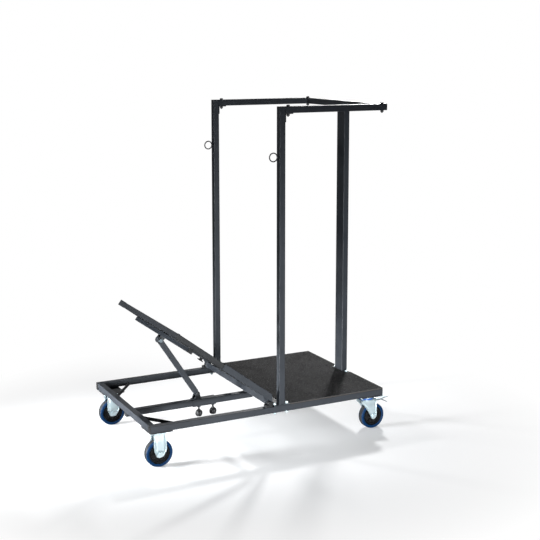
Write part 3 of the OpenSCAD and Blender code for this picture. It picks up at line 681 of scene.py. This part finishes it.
@dataclass
class PressedFork(ABC):
    """A fork pressed from 3 mm sheet: rounded shoulders, turned edges, a pressed panel."""

    name: str
    body: str
    stem: Pair
    crown_z: float
    axle_z: float = 0.0625
    axle_x: float = 0.0
    gap: float = 0.0205
    sheet: float = 0.003
    shoulder: float = 0.009
    panel: float = 0.0042
    lip: float = 0.0028
    panel_edge: Pair = (0.0052, 0.0122)
    lip_edge: Pair = (0.0014, 0.0044)
    axle_clear: Pair = (0.0125, 0.0175)
    crown_fade: Pair = (0.010, 0.045)
    foot_fade: Pair = (-0.011, 0.006)
    extra: list[Patch] = field(default_factory=list)

    @abstractmethod
    def edges_at(self, z: Grid) -> tuple[Grid, Grid]:
        """Left and right edge of a leg at height z."""

    @abstractmethod
    def foot_heights(self) -> Grid:
        """Heights of the rows below the axle, from the foot's tip upwards."""

    def sheet_grid(self) -> Grid:
        """Mid surface of the folded sheet.

        Rows follow a U: up one leg, round the shoulder, over the crown and down the other
        leg. Columns cross it from the left edge to the right. The edge columns turn outward,
        and a panel between them is pressed outward, but not round the axle.
        """
        y_mid, top = self.gap + self.sheet / 2, self.crown_z - self.sheet / 2
        leg_z = np.concatenate([
            self.foot_heights(), np.linspace(self.axle_z, top - self.shoulder, 40)
        ])
        a = np.linspace(0.0, np.pi / 2, 9)[1:]
        arc_y = y_mid - self.shoulder + self.shoulder * np.cos(a)
        arc_z = top - self.shoulder + self.shoulder * np.sin(a)
        half_y = np.concatenate([np.full(leg_z.size, y_mid), arc_y])
        half_z = np.concatenate([leg_z, arc_z])
        flat_y = np.linspace(arc_y[-1], -arc_y[-1], 8)[1:-1]
        y = np.concatenate([half_y, flat_y, -half_y[::-1]])[:, None]
        z = np.concatenate([half_z, np.full(flat_y.size, top), half_z[::-1]])[:, None]
        left, right = self.edges_at(z)
        v = np.sin(np.linspace(-np.pi / 2, np.pi / 2, 49))[None, :]
        x = (left + right) / 2 + (right - left) / 2 * v
        return self.pressed(x, y, z, (right - left) / 2 * (1.0 - np.abs(v)), top)

    def pressed(self, x: Grid, y: Grid, z: Grid, from_edge: Grid, top: float) -> Grid:
        """Adds the pressed shapes to the flat sheet.

        The lip stands out within 4 mm of the edge, and the panel rises from 5 to 12 mm from
        the edge. Both fade out up to the crown, the lip at the foot and the panel round the
        axle.
        """
        clear = smooth_step(np.hypot(x - self.axle_x, z - self.axle_z), *self.axle_clear)
        below = smooth_step(top - z, *self.crown_fade)
        above = smooth_step(z - self.axle_z, *self.foot_fade)
        lip = self.lip * (1.0 - smooth_step(from_edge, *self.lip_edge)) * below * above
        panel = self.panel * smooth_step(from_edge, *self.panel_edge) * clear * below
        out = np.sign(y) * (lip + panel)
        grid = np.stack([x, y + out, np.broadcast_to(z, x.shape)], axis=-1)
        return grid + (self.stem[0], self.stem[1], 0.0)

    def build(self, node: str) -> None:
        """Makes the two skins and the rim between them, in place of a CAD node."""
        mid = self.sheet_grid()
        along, across = np.gradient(mid, axis=0), np.gradient(mid, axis=1)
        normal = np.cross(along, across)
        normal /= np.maximum(np.linalg.norm(normal, axis=2, keepdims=True), 1e-12)
        outer, inner = mid + normal * self.sheet / 2, mid - normal * self.sheet / 2
        ring = np.concatenate([outer, inner[:, ::-1]], axis=1)
        ends = [np.stack([outer[i], inner[i]]) for i in (0, -1)]
        patches = [Patch(ring, ring_cols=True), Patch(ends[0]), Patch(ends[1]), *self.extra]
        make_piece(self.name, patches, self.body, Slot.ZINC, [node])


@dataclass
class RigidFork(PressedFork):
    """A fixed castor's fork: straight sides, cut back under the axle."""

    outline: Sequence[Pair] = (
        (-0.0159, 0.011), (-0.012, 0.016), (0.015, 0.029), (0.0995, 0.0299)
    )

    def edges_at(self, z: Grid) -> tuple[Grid, Grid]:
        """Straight lines between the outline's points of height over the axle and half width."""
        heights, halves = np.array(self.outline).T
        half = np.interp(z - self.axle_z, heights, halves)
        return -half, half

    def foot_heights(self) -> Grid:
        """Rows from the tip to the axle, with one on each corner of the outline."""
        tip, knee = self.outline[0][0], self.outline[1][0]
        steps = np.concatenate([np.linspace(tip, knee, 5)[:-1], np.linspace(knee, 0.0, 9)[:-1]])
        return self.axle_z + steps


@dataclass
class SwivelFork(PressedFork):
    """A swivel castor's raked fork, round at the axle."""

    crown_x: Pair = (-0.038, 0.048)
    crown_h: float = 0.016
    foot_r: float = 0.015
    sweep: float = 0.72
    foot_turn: Pair = (0.06, 1.45)

    def edges_at(self, z: Grid) -> tuple[Grid, Grid]:
        """Hollow edges from the crown to the circle round the axle.

        The run inward is the height under the crown to the power of the sweep. Below the
        point where a straight edge would touch the circle they follow it.
        """
        limits = []
        for corner, sign in ((self.crown_x[0], -1.0), (self.crown_x[1], 1.0)):
            low = self.crown_z - self.crown_h
            run, rise = self.axle_x - corner, self.axle_z - low
            reach = math.hypot(run, rise)
            turn = math.atan2(rise, run) + sign * math.asin(self.foot_r / reach)
            length = math.sqrt(reach**2 - self.foot_r**2)
            touch_x = corner + length * math.cos(turn)
            touch_z = low + length * math.sin(turn)
            share = np.clip((low - z) / (low - touch_z), 0.0, 1.0) ** self.sweep
            line = corner + share * (touch_x - corner)
            round_x = np.sqrt(np.maximum(self.foot_r**2 - (z - self.axle_z) ** 2, 1e-9))
            limits.append(np.where(z < touch_z, self.axle_x + sign * round_x, line))
        return limits[0], limits[1]

    def foot_heights(self) -> Grid:
        """Rows at even angles round the lower half of the circle."""
        return self.axle_z - self.foot_r * np.cos(np.linspace(*self.foot_turn, 14))


@dataclass
class Castors:
    """Four castors: two fixed at the left, two that swivel at the right."""

    trail: float = 0.032
    race_r: float = 0.03
    king_r: float = 0.00705
    disc_over: float = 0.004
    disc_t: float = 0.004
    bevel: float = 0.001
    disc_bevel: float = 0.0012
    seal_gap: float = 0.001
    turns: int = 72

    def crown_ring(self, stem: Pair, crown_z: float, top: float) -> Patch:
        """Ring on the crown: a wide pressed disc with the ball race's drum above it."""
        disc, low = self.race_r + self.disc_over, crown_z - self.disc_t
        b, wide = self.bevel, self.disc_bevel
        profile = np.array([
            (self.king_r, low), (disc - b, low), (disc, low + b), (disc, crown_z - wide),
            (disc - wide, crown_z), (self.race_r, crown_z), (self.race_r, top - b),
            (self.race_r - b, top), (self.king_r, top),
        ])
        return Patch(sweep_round(profile, self.turns, (*stem, 0.0), "z"), True, True)

    def build(self) -> None:
        """Builds forks and wheels on both sides."""
        for side in Side:
            word = side.word
            x, y, _ = middle(f"{word}_rigid_tyre")
            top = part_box("rigid_forks")[1].z
            RigidFork(f"{word}_rigid_pressed_fork", "frame", (x, y), top).build("rigid_forks")
            stem = (middle(f"{word}_swivel_tyre")[0] - self.trail, y)
            crown_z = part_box("swivel_seals")[0].z - self.seal_gap
            ring = self.crown_ring(stem, crown_z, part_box(f"{word}_swivel_fork")[1].z)
            SwivelFork(
                f"{word}_swivel_pressed_fork", f"{word}_swivel", stem, crown_z,
                axle_x=self.trail, extra=[ring],
            ).build(f"{word}_swivel_fork")
            for kind in ("rigid", "swivel"):
                Wheel(f"{word}_{kind}", f"{word}_{kind}_wheel").build()


# Clamp knobs


@dataclass
class StarKnob:
    """A moulded star knob with a collar and a screw, square to its slope."""

    node: str
    body: str
    slope: Slope = Slope()
    radius: float = 0.018
    head: float = 0.031
    lobes: int = 6
    dip: float = 0.0024
    collar: float = 0.0075
    neck: float = 0.004
    screw: float = 0.004
    power: float = 2.6
    waist: float = 1.25
    waist_from: float = 2.0
    cone: float = 0.85
    bevel: float = 0.0008
    hollow_from: Pair = (0.009, 0.016)

    def profile(self, length: float) -> Grid:
        """Radius and height from the knob's foot up to the screw's tip.

        The head is a superellipse of the given power, the neck a cone, and the screw a rod.
        """
        t = np.linspace(0.0, np.pi, 33)[1:-1]
        bulge = np.sin(t) ** (2.0 / self.power)
        level = np.sign(np.cos(t)) * np.abs(np.cos(t)) ** (2.0 / self.power)
        rise = (1.0 - level) / 2 * self.head
        waist = np.where(t > self.waist_from, self.collar * self.waist, 0.0)
        wide = np.maximum(bulge * self.radius, waist)
        top = self.head + self.neck
        neck = np.array([
            (self.collar, self.head + self.bevel), (self.cone * self.collar, top),
            (self.screw, top + self.bevel), (self.screw, length),
        ])
        return np.concatenate([np.stack([wide, rise], axis=1), neck])

    def build(self) -> None:
        """Sweeps the profile and presses the hollows between the lobes into the head."""
        low, high = self.slope.box(self.node)
        x, y = (low[:2] + high[:2]) / 2
        profile = self.profile(high[2] - low[2])
        turns = 16 * self.lobes
        angle = full_turn(turns)[None, :]
        r, z = profile[:, :1], np.broadcast_to(profile[:, 1:], (len(profile), turns))
        hollow = self.dip * (0.5 - 0.5 * np.cos(self.lobes * angle)) ** 1.5
        r = r - hollow * smooth_step(r, *self.hollow_from)
        points = np.stack([r * np.cos(angle), r * np.sin(angle), z], axis=-1) + (x, y, low[2])
        ends = [np.repeat(points[i].mean(0)[None, None], turns, axis=1) for i in (0, -1)]
        points = self.slope.to_world(np.concatenate([ends[0], points, ends[1]]))
        patch = Patch(points, ring_cols=True)
        make_piece(f"{self.body}_star_knob", [patch], self.body, Slot.PLASTIC, [self.node])


# Bolts


@dataclass
class HexBolt:
    """A hexagon bolt that stands in a hole, with washers and a domed nut."""

    grip: float
    shank: float = 0.004
    washer_r: float = 0.008
    washer_t: float = 0.0016
    flats: float = 0.013
    head: float = 0.0053
    nut: float = 0.0065
    dome: float = 0.0048
    edge: float = 0.00025
    chamfer: float = 0.0008
    corner_cut: float = 1.04
    nut_edge: float = 0.0007
    dimple: float = 0.0035
    dimple_in: float = 0.0002
    dimple_t: float = 0.0003
    steps: int = 48

    def ring(self, radius: float, height: float, six: float = 0.0, cap: float = 1.0) -> Grid:
        """One row of points: a circle, or a hexagon whose corners a circle cuts.

        A hexagon's radius at an angle is half its flats over the cosine of the angle from
        the middle of the nearest flat.
        """
        angle = full_turn(self.steps)
        across = (angle + np.pi / 6) % (np.pi / 3) - np.pi / 6
        r = np.minimum(six / 2 / np.cos(across), cap) if six else np.full(self.steps, radius)
        return np.stack([r * np.cos(angle), r * np.sin(angle), np.full(self.steps, height)], axis=1)

    def patch(self, place: Sequence[float]) -> Patch:
        """The bolt as one closed sweep, with its seat under the head at place."""
        t, w = self.washer_t, self.washer_r
        edge, corner = self.edge, self.flats / 2 * self.corner_cut
        low = -self.grip
        foot, top, six = low - t - self.nut, t + self.head, self.flats
        dome = [
            (max(self.dome * math.cos(a), POINT), foot - self.dome * math.sin(a))
            for a in np.linspace(0.0, np.pi / 2, 8)[::-1]
        ]
        rows = [
            *dome, (0, foot, six, corner), (0, foot + self.chamfer, six),
            (0, low - t - self.nut_edge, six), (0, low - t, six, corner), (w - edge, low - t),
            (w, low - t + edge), (w, low - edge), (w - edge, low), (self.shank, low),
            (self.shank, 0.0), (w - edge, 0.0), (w, edge), (w, t - edge), (w - edge, t),
            (0, t, six), (0, top - self.chamfer, six), (0, top, six, corner), (self.dimple, top),
            (self.dimple - self.dimple_in, top - self.dimple_t), (POINT, top - self.dimple_t),
        ]
        grid = np.stack([self.ring(*row) for row in rows])
        return Patch(grid + np.asarray(place), ring_cols=True)


@dataclass
class FrameBolts:
    """The bolts of the posts' feet and of the push rail."""

    foot_edge: float = 0.0105
    end_edge: float = 0.015
    bracket_in: float = 0.02
    corner_in: float = 0.019
    foot_grip: float = 0.034
    rail_t: float = 0.03
    bracket_t: float = 0.004

    def build(self) -> None:
        """Builds bright bolts at the feet and painted ones through the push rail."""
        feet, rail = [], []
        for side in Side:
            post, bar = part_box(f"{side.word}_post"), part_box(f"{side.word}_push_bar")
            y, z = middle(f"{side.word}_post")[1], post[0].z + self.bracket_t
            for x in (post[0].x + self.foot_edge, post[1].x - self.foot_edge):
                feet.append(HexBolt(self.foot_grip).patch((x, y, z)))
            seats = ((bar[0].x + self.bracket_in, self.bracket_t), (bar[1].x - self.corner_in, 0.0))
            for x, extra in seats:
                rail.append(HexBolt(self.rail_t + extra).patch((x, y, bar[1].z)))
        low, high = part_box("end_post")
        for y in (low.y + self.end_edge, high.y - self.end_edge):
            place = (middle("end_post")[0], y, low.z + self.bracket_t)
            feet.append(HexBolt(self.foot_grip).patch(place))
        nodes = ["frame_bolts"]
        make_piece("foot_bolts", feet, "frame", Slot.ZINC, nodes)
        make_piece("push_rail_bolts", rail, "frame", Slot.ZINC, nodes, [FINISHES[Slot.DARK]])


# Deck


@dataclass
class DeckCarpet:
    """Needle felt glued to the board, cut round the feet of the posts."""

    cell: float = 0.0021
    relief: float = 0.0007
    foot_clear: float = 0.0012
    foot_t: float = 0.004
    fine: float = 0.45
    wide: float = 1.6
    base: float = 0.25
    seed: int = 7

    def axis(self, low: float, high: float, cuts: Sequence[float]) -> Grid:
        """Grid lines from low to high about a cell apart, with a line on each cut."""
        stops = sorted({low, high, *[c for c in cuts if low < c < high]})
        runs = [
            np.linspace(a, b, max(2, round((b - a) / self.cell)), endpoint=False)
            for a, b in zip(stops, stops[1:])
        ]
        return np.concatenate([*runs, [high]])

    def tufts(self, rows: int, cols: int) -> Grid:
        """Height of the tufts: white noise smoothed once and twice, added up."""
        rng = np.random.default_rng(self.seed)
        fine = rng.random((rows, cols))
        wide = fine.copy()
        for _ in range(2):
            wide = (wide + np.roll(wide, 1, 0) + np.roll(wide, 1, 1) + np.roll(wide, -1, 0)) / 4
        return self.fine * fine + self.wide * (wide - 0.5) + self.base

    def build(self) -> None:
        """Builds the felt as a closed slab over the cells that no foot covers."""
        low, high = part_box("deck_carpet")
        feet = self.feet()
        xs = self.axis(low.x, high.x, [c for foot in feet for c in foot[:2]])
        ys = self.axis(low.y, high.y, [c for foot in feet for c in foot[2:]])
        x, y = np.meshgrid(xs, ys, indexing="ij")
        mid_x, mid_y = (xs[:-1] + xs[1:]) / 2, (ys[:-1] + ys[1:]) / 2
        keep = np.ones((mid_x.size, mid_y.size), bool)
        for x0, x1, y0, y1 in feet:
            keep &= ~((mid_x > x0) & (mid_x < x1))[:, None] | ~((mid_y > y0) & (mid_y < y1))
        top = high.z - self.relief + self.relief * np.clip(self.tufts(*x.shape), 0.0, 1.0)
        self.slab(x, y, top, low.z, keep)

    def feet(self) -> list[tuple[float, float, float, float]]:
        """Rectangles on the deck that the posts' foot plates cover, x0, x1, y0, y1."""
        found = []
        for node in ("near_post", "far_post", "end_post"):
            points = node_points(node)
            foot = points[points[:, 2] < points[:, 2].min() + self.foot_t]
            lo, hi = foot.min(0) - self.foot_clear, foot.max(0) + self.foot_clear
            found.append((lo[0], hi[0], lo[1], hi[1]))
        return found

    def slab(self, x: Grid, y: Grid, top: Grid, base: float, keep: Grid) -> None:
        """Closes the kept cells with a flat underside and walls.

        A wall stands on each cell edge that has a kept cell on one side only.
        """
        rows, cols = x.shape
        upper = np.stack([x, y, top], axis=-1).reshape(-1, 3)
        lower = np.stack([x, y, np.full_like(x, base)], axis=-1).reshape(-1, 3)
        quads = grid_faces(rows, cols, False, False)[keep.ravel()]
        edges = np.concatenate([quads[:, [i, (i + 1) % 4]] for i in range(4)])
        key = np.sort(edges, axis=1)
        _, first, uses = np.unique(key, axis=0, return_index=True, return_counts=True)
        rim = edges[first[uses == 1]]
        under = rows * cols
        walls = np.stack([rim[:, 1], rim[:, 0], rim[:, 0] + under, rim[:, 1] + under], axis=1)
        faces = np.concatenate([quads, quads[:, ::-1] + under, walls])
        points = np.concatenate([upper, lower])
        used, index = np.unique(faces, return_inverse=True)
        mesh = new_mesh("deck_felt", points[used], index.reshape(faces.shape))
        piece = place_piece(mesh, "frame", Slot.CARPET, ["deck_carpet"], angle=PILE_ANGLE)


# Welds


@dataclass
class Weld:
    """A rippled bead between two points."""

    start: Colour
    end: Colour
    radius: float = 0.0019
    pitch: float = 0.0026
    run_out: float = 1.6
    ripple: float = 0.16

    def patch(self) -> Patch:
        """Tube along the seam.

        Its radius swells over each drop of metal by a rectified sine of the pitch, and
        falls to nothing at both ends by a quarter ellipse.
        """
        a, b = np.asarray(self.start, float), np.asarray(self.end, float)
        length = float(np.linalg.norm(b - a))
        steps = max(9, int(length / self.pitch * 3))
        s = np.linspace(0.0, length, steps)[:, None]
        edge = np.clip(np.minimum(s, length - s) / (self.run_out * self.radius), 0.0, 1.0)
        drops = 1.0 - self.ripple + self.ripple * np.abs(np.sin(np.pi * s / self.pitch))
        r = self.radius * drops * np.sqrt(1.0 - (1.0 - edge) ** 2)
        along = (b - a) / length
        first = np.cross(along, (0.0, 0.0, 1.0) if abs(along[2]) < 0.9 else (1.0, 0.0, 0.0))
        first /= np.linalg.norm(first)
        second = np.cross(along, first)
        turn = full_turn(8)[None, :, None]
        ring = first * np.cos(turn) + second * np.sin(turn)
        return Patch(a + along * s[:, None, :] + r[:, None, :] * ring, ring_cols=True)


@dataclass
class WeldSeams:
    """Beads where the tubes meet, gathered body by body."""

    seams: dict[str, list[Weld]] = field(default_factory=dict)
    plate_inner: float = 0.335
    plate_over: float = 0.1

    def add(self, body: str, start: Sequence[float], end: Sequence[float]) -> None:
        """Notes one bead on a body."""
        self.seams.setdefault(body, []).append(Weld(tuple(start), tuple(end)))

    def loop(self, body: str, corners: Sequence[Sequence[float]]) -> None:
        """Notes beads round a closed run of corners."""
        for a, b in zip(corners, [*corners[1:], corners[0]]):
            self.add(body, a, b)

    def butt(self, node: str, inset: float = 0.0012) -> None:
        """Beads at the upright edges and tops where a frame tube meets both side rails."""
        low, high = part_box(node)
        for y in (low.y, high.y):
            for x in (low.x, high.x):
                self.add("frame", (x, y, low.z + inset), (x, y, high.z - inset))
            self.add("frame", (low.x + inset, y, high.z), (high.x - inset, y, high.z))
            self.add("frame", (low.x + inset, y, low.z), (high.x - inset, y, low.z))

    def post_foot(self, node: str) -> None:
        """Beads round a post where it stands on its foot plate."""
        points = node_points(node)
        tube = points[points[:, 2] > points[:, 2].min() + self.plate_over]
        lo, hi = tube.min(0), tube.max(0)
        foot_top = float(np.unique(points[:, 2].round(5))[1])
        self.loop("frame", [(x, y, foot_top) for x, y in rectangle(lo, hi)])

    def support(self, slope: Slope = SUPPORT_SLOPE) -> None:
        """Beads on the chair support, drawn along its slope."""
        spine, cross = slope.box("support_spine"), slope.box("support_cross_tube")
        bar, core = slope.box("support_top_bar"), slope.box("spine_core_bar")
        tube = slope.box("support_hinge_tube")
        y0, y1, face = spine[0][1], spine[1][1], cross[1][2]
        half = (y1 - y0) / 2
        pin_x, pin_z = tube[1][0] - half, face - half
        for x in (cross[0][0], cross[1][0], pin_x - half, pin_x + half):
            self.add("support", *slope.to_world([(x, y0, face), (x, y1, face)]))
        square = rectangle((pin_x - half, pin_z - half), (pin_x + half, pin_z + half))
        for side in (-1.0, 1.0):
            plate = [(x, side * self.plate_inner, z) for x, z in square]
            self.loop("support", slope.to_world(plate))
            end, inner = side * bar[1][1], side * (bar[1][1] - (bar[1][0] - bar[0][0]))
            for z in (bar[0][2], bar[1][2]):
                seam = [(bar[0][0], end, z), (bar[1][0], inner, z)]
                self.add("extension", *slope.to_world(seam))
        sides = rectangle(core[0][1:], core[1][1:])
        self.loop("extension", slope.to_world([(bar[1][0], y, z) for y, z in sides]))

    def build(self) -> None:
        """Makes one piece of beads for each body."""
        for body, welds in self.seams.items():
            patches = [weld.patch() for weld in welds]
            make_piece(f"{body}_weld_beads", patches, body, Slot.FRAME, finishes=[WELD])


# CAD nodes


OWN_FINISH: dict[str, Finish] = {
    "strap_rings": FINISHES[Slot.DARK],
    # Painted shade: the brake pedals take the darker zinc for the shade round them; the prop bolt
    # takes it too.
    "near_brake_pedal": DARK_AND_SHADED_ZINC,
    "far_brake_pedal": DARK_AND_SHADED_ZINC,
    "prop_bolt": DARK_AND_SHADED_ZINC,
    # Painted shade: the slide tubes and the spine take the near-black powder for the shade they lie
    # in.
    "near_slide_tube": SHADE_POWDER,
    "far_slide_tube": SHADE_POWDER,
    "support_spine": SHADE_POWDER,
}


@dataclass
class CadDressing:
    """Gives each CAD node its own finish or that of its record slot."""

    slots: dict[str, str]

    def build(self) -> None:
        """Puts the finish into the one material slot of each node."""
        for node, piece in frame["nodes"].items():
            finish = OWN_FINISH.get(node) or FINISHES[Slot(self.slots[node])]
            piece.data.materials.clear()
            piece.data.materials.append(finish.material())
            LOG.info("%s: %s", node, finish.name)


# Studio


@dataclass
class Lamp:
    """A soft rectangular lamp aimed at a point."""

    name: str
    place: Colour
    target: Colour
    size: Pair
    power: float
    tint: Colour = (1.0, 1.0, 1.0)
    spread: float = 180.0

    def build(self) -> None:
        """Hangs the lamp."""
        light = bpy.data.lights.new(self.name, "AREA")
        light.shape, light.size, light.size_y = "RECTANGLE", *self.size
        light.energy, light.color = self.power, self.tint
        light.spread = math.radians(self.spread)
        lamp = put(self.name, light)
        lamp.location = self.place
        aim = Vector(self.target) - Vector(self.place)
        lamp.rotation_euler = aim.to_track_quat("-Z", "Y").to_euler()


@dataclass
class Studio:
    """Pale floor, soft lamps, white background and the camera."""

    eye: Colour = (-2.27663, -4.71076, 1.84174)
    yaw: float = 27.2447
    pitch: float = 8.6867
    lens: float = 73.603
    shift_y: float = -0.1
    sensor: float = 36.0
    sight: float = 200.0
    floor_half: float = 30.0
    floor_lift: float = 0.24
    floor_tones: tuple[Colour, Colour] = ((0.8, 0.8, 0.805), (0.815, 0.815, 0.82))
    white_from: Pair = (0.9, 1.6)
    lit_patch: Colour = (0.2, -1.6, 0.0)
    dim_from: Pair = (1.0, 1.6)
    fill: float = 0.07
    mirrored: float = 0.035
    lamps: Sequence[Lamp] = (
        Lamp("back_left_lamp", (-2.6, 3.4, 3.6), (0.0, 0.0, 0.5), (0.5, 0.5), 56.0),
        Lamp("back_right_lamp", (2.8, 3.0, 3.0), (0.0, 0.0, 0.4), (0.4, 0.4), 182.0),
        Lamp("front_lamp", (-1.6, -5.2, 1.0), (0.0, 0.0, 0.6), (3.0, 1.6), 36.0, (0.93, 0.97, 1.0)),
        Lamp(
            "low_lamp", (-1.2, -5.2, 0.3), (0.1, -0.4, 0.15), (2.4, 0.3), 30.0,
            (0.93, 0.97, 1.0), 40.0,
        ),
        Lamp(
            "left_lamp", (-2.6, 0.4, 0.42), (-0.62, 0.0, 0.1), (1.0, 0.3), 16.0,
            (0.95, 0.98, 1.0), 36.0,
        ),
    )

    def camera(self) -> None:
        """Stands the camera where the photograph's was."""
        lens = bpy.data.cameras.new("camera")
        lens.lens, lens.sensor_width, lens.sensor_fit = self.lens, self.sensor, "HORIZONTAL"
        lens.shift_y, lens.clip_end = self.shift_y, self.sight
        camera = put("camera", lens)
        camera.location = self.eye
        camera.rotation_euler = (math.radians(90.0 - self.pitch), 0.0, math.radians(-self.yaw))
        bpy.context.scene.camera = camera

    def floor_material(self) -> bpy.types.Material:
        """Pale matt floor that fades to plain white far away.

        A small glow for camera rays lifts the lit floor to white and keeps the shadows. In
        reflections the floor shows painted shade away from its lit patch: a dim glow in place of
        its own lighting. From below it is clear, so that the underside can be seen.
        """
        shader = Shader("studio_floor")
        seen, mirror = shader.rays()
        bright = shader.math("MAXIMUM", seen, mirror)
        grain = shader.noise(6.0, 3.0)
        tone = shader.blend(grain, *self.floor_tones)
        matt = shader.add("ShaderNodeBsdfDiffuse", {"Color": tone})
        glow = shader.math("MULTIPLY", bright, self.floor_lift)
        lift = shader.add("ShaderNodeEmission", {"Strength": glow})
        lit = shader.add("ShaderNodeAddShader", {0: matt.outputs[0], 1: lift.outputs[0]})
        white = shader.add("ShaderNodeEmission", {"Strength": 1.0})
        dim = shader.add("ShaderNodeEmission", {"Strength": self.mirrored})
        away = self.falloff(shader, (0.0, 0.0, 0.0), *self.white_from)
        mix = shader.mixed(shader.math("MULTIPLY", away, seen), lit, white)
        # Painted shade in reflections: mirrored rays away from the lit patch see a dim glow.
        far = self.falloff(shader, self.lit_patch, *self.dim_from)
        both = shader.mixed(shader.math("MULTIPLY", far, mirror), mix, dim)
        below = shader.add("ShaderNodeNewGeometry").outputs["Backfacing"]
        surface = shader.mixed(below, both, shader.add("ShaderNodeBsdfTransparent"))
        shader.add("ShaderNodeOutputMaterial", {"Surface": surface.outputs[0]})
        return shader.material

    def falloff(self, shader: Shader, centre: Colour, low: float, high: float):
        """Rises from 0 to 1 between two distances from a point of the floor."""
        step = {0: shader.place, 1: centre}
        away = shader.add("ShaderNodeVectorMath", step, operation="DISTANCE").outputs["Value"]
        return shader.spread(away, low, high)

    def floor(self) -> None:
        """Lays the floor under the wheels."""
        h = self.floor_half
        points = [(x, y, 0.0) for x, y in rectangle((-h, -h), (h, h))]
        mesh = new_mesh("studio_floor", points, [(0, 1, 2, 3)])
        mesh.materials.append(self.floor_material())
        put("studio_floor", mesh)

    def world(self) -> None:
        """White to the camera, and a dim room as light and in reflections."""
        world = bpy.data.worlds.new("studio")
        world.use_nodes = True
        nodes = Nodes(world.node_tree)
        seen, mirror = nodes.rays()
        dim = nodes.spread(mirror, 0.0, 1.0, self.fill, self.mirrored)
        soft = nodes.add("ShaderNodeBackground", {"Color": WHITE, "Strength": dim})
        white = nodes.add("ShaderNodeBackground", {"Color": WHITE})
        surface = nodes.mixed(seen, soft, white)
        nodes.add("ShaderNodeOutputWorld", {"Surface": surface.outputs[0]})
        bpy.context.scene.world = world

    def build(self) -> None:
        """Sets up camera, floor, lamps and world."""
        self.camera()
        self.floor()
        for lamp in self.lamps:
            lamp.build()
        self.world()
        bpy.context.scene.view_settings.view_transform = "Standard"


def record_slots() -> dict[str, str]:
    """Each node's material slot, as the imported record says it."""
    return {row["node"]: row["material_slot"] for row in frame["record"]["subparts"]}


def weld_seams() -> WeldSeams:
    """The seams of the base frame, the posts and the chair support."""
    seams = WeldSeams()
    for node in ("left_end_bar", "right_end_bar", "cross_bar"):
        seams.butt(node)
    for node in ("near_post", "far_post", "end_post"):
        seams.post_foot(node)
    seams.support()
    return seams


def main() -> None:
    """Builds the studio and every piece."""
    logging.basicConfig(level=logging.INFO, format="%(message)s")
    Studio().build()
    CadDressing(record_slots()).build()
    Castors().build()
    for side in ("left", "right"):
        StarKnob(f"{side}_clamp_knob", f"{side}_clamp").build()
    StarKnob(
        "extension_knob", "extension_clamp", SUPPORT_SLOPE, head=0.0054, dip=0.0012, collar=0.0088,
        neck=0.006,
    ).build()
    FrameBolts().build()
    DeckCarpet().build()
    weld_seams().build()


if __name__ == "__main__":
    main()
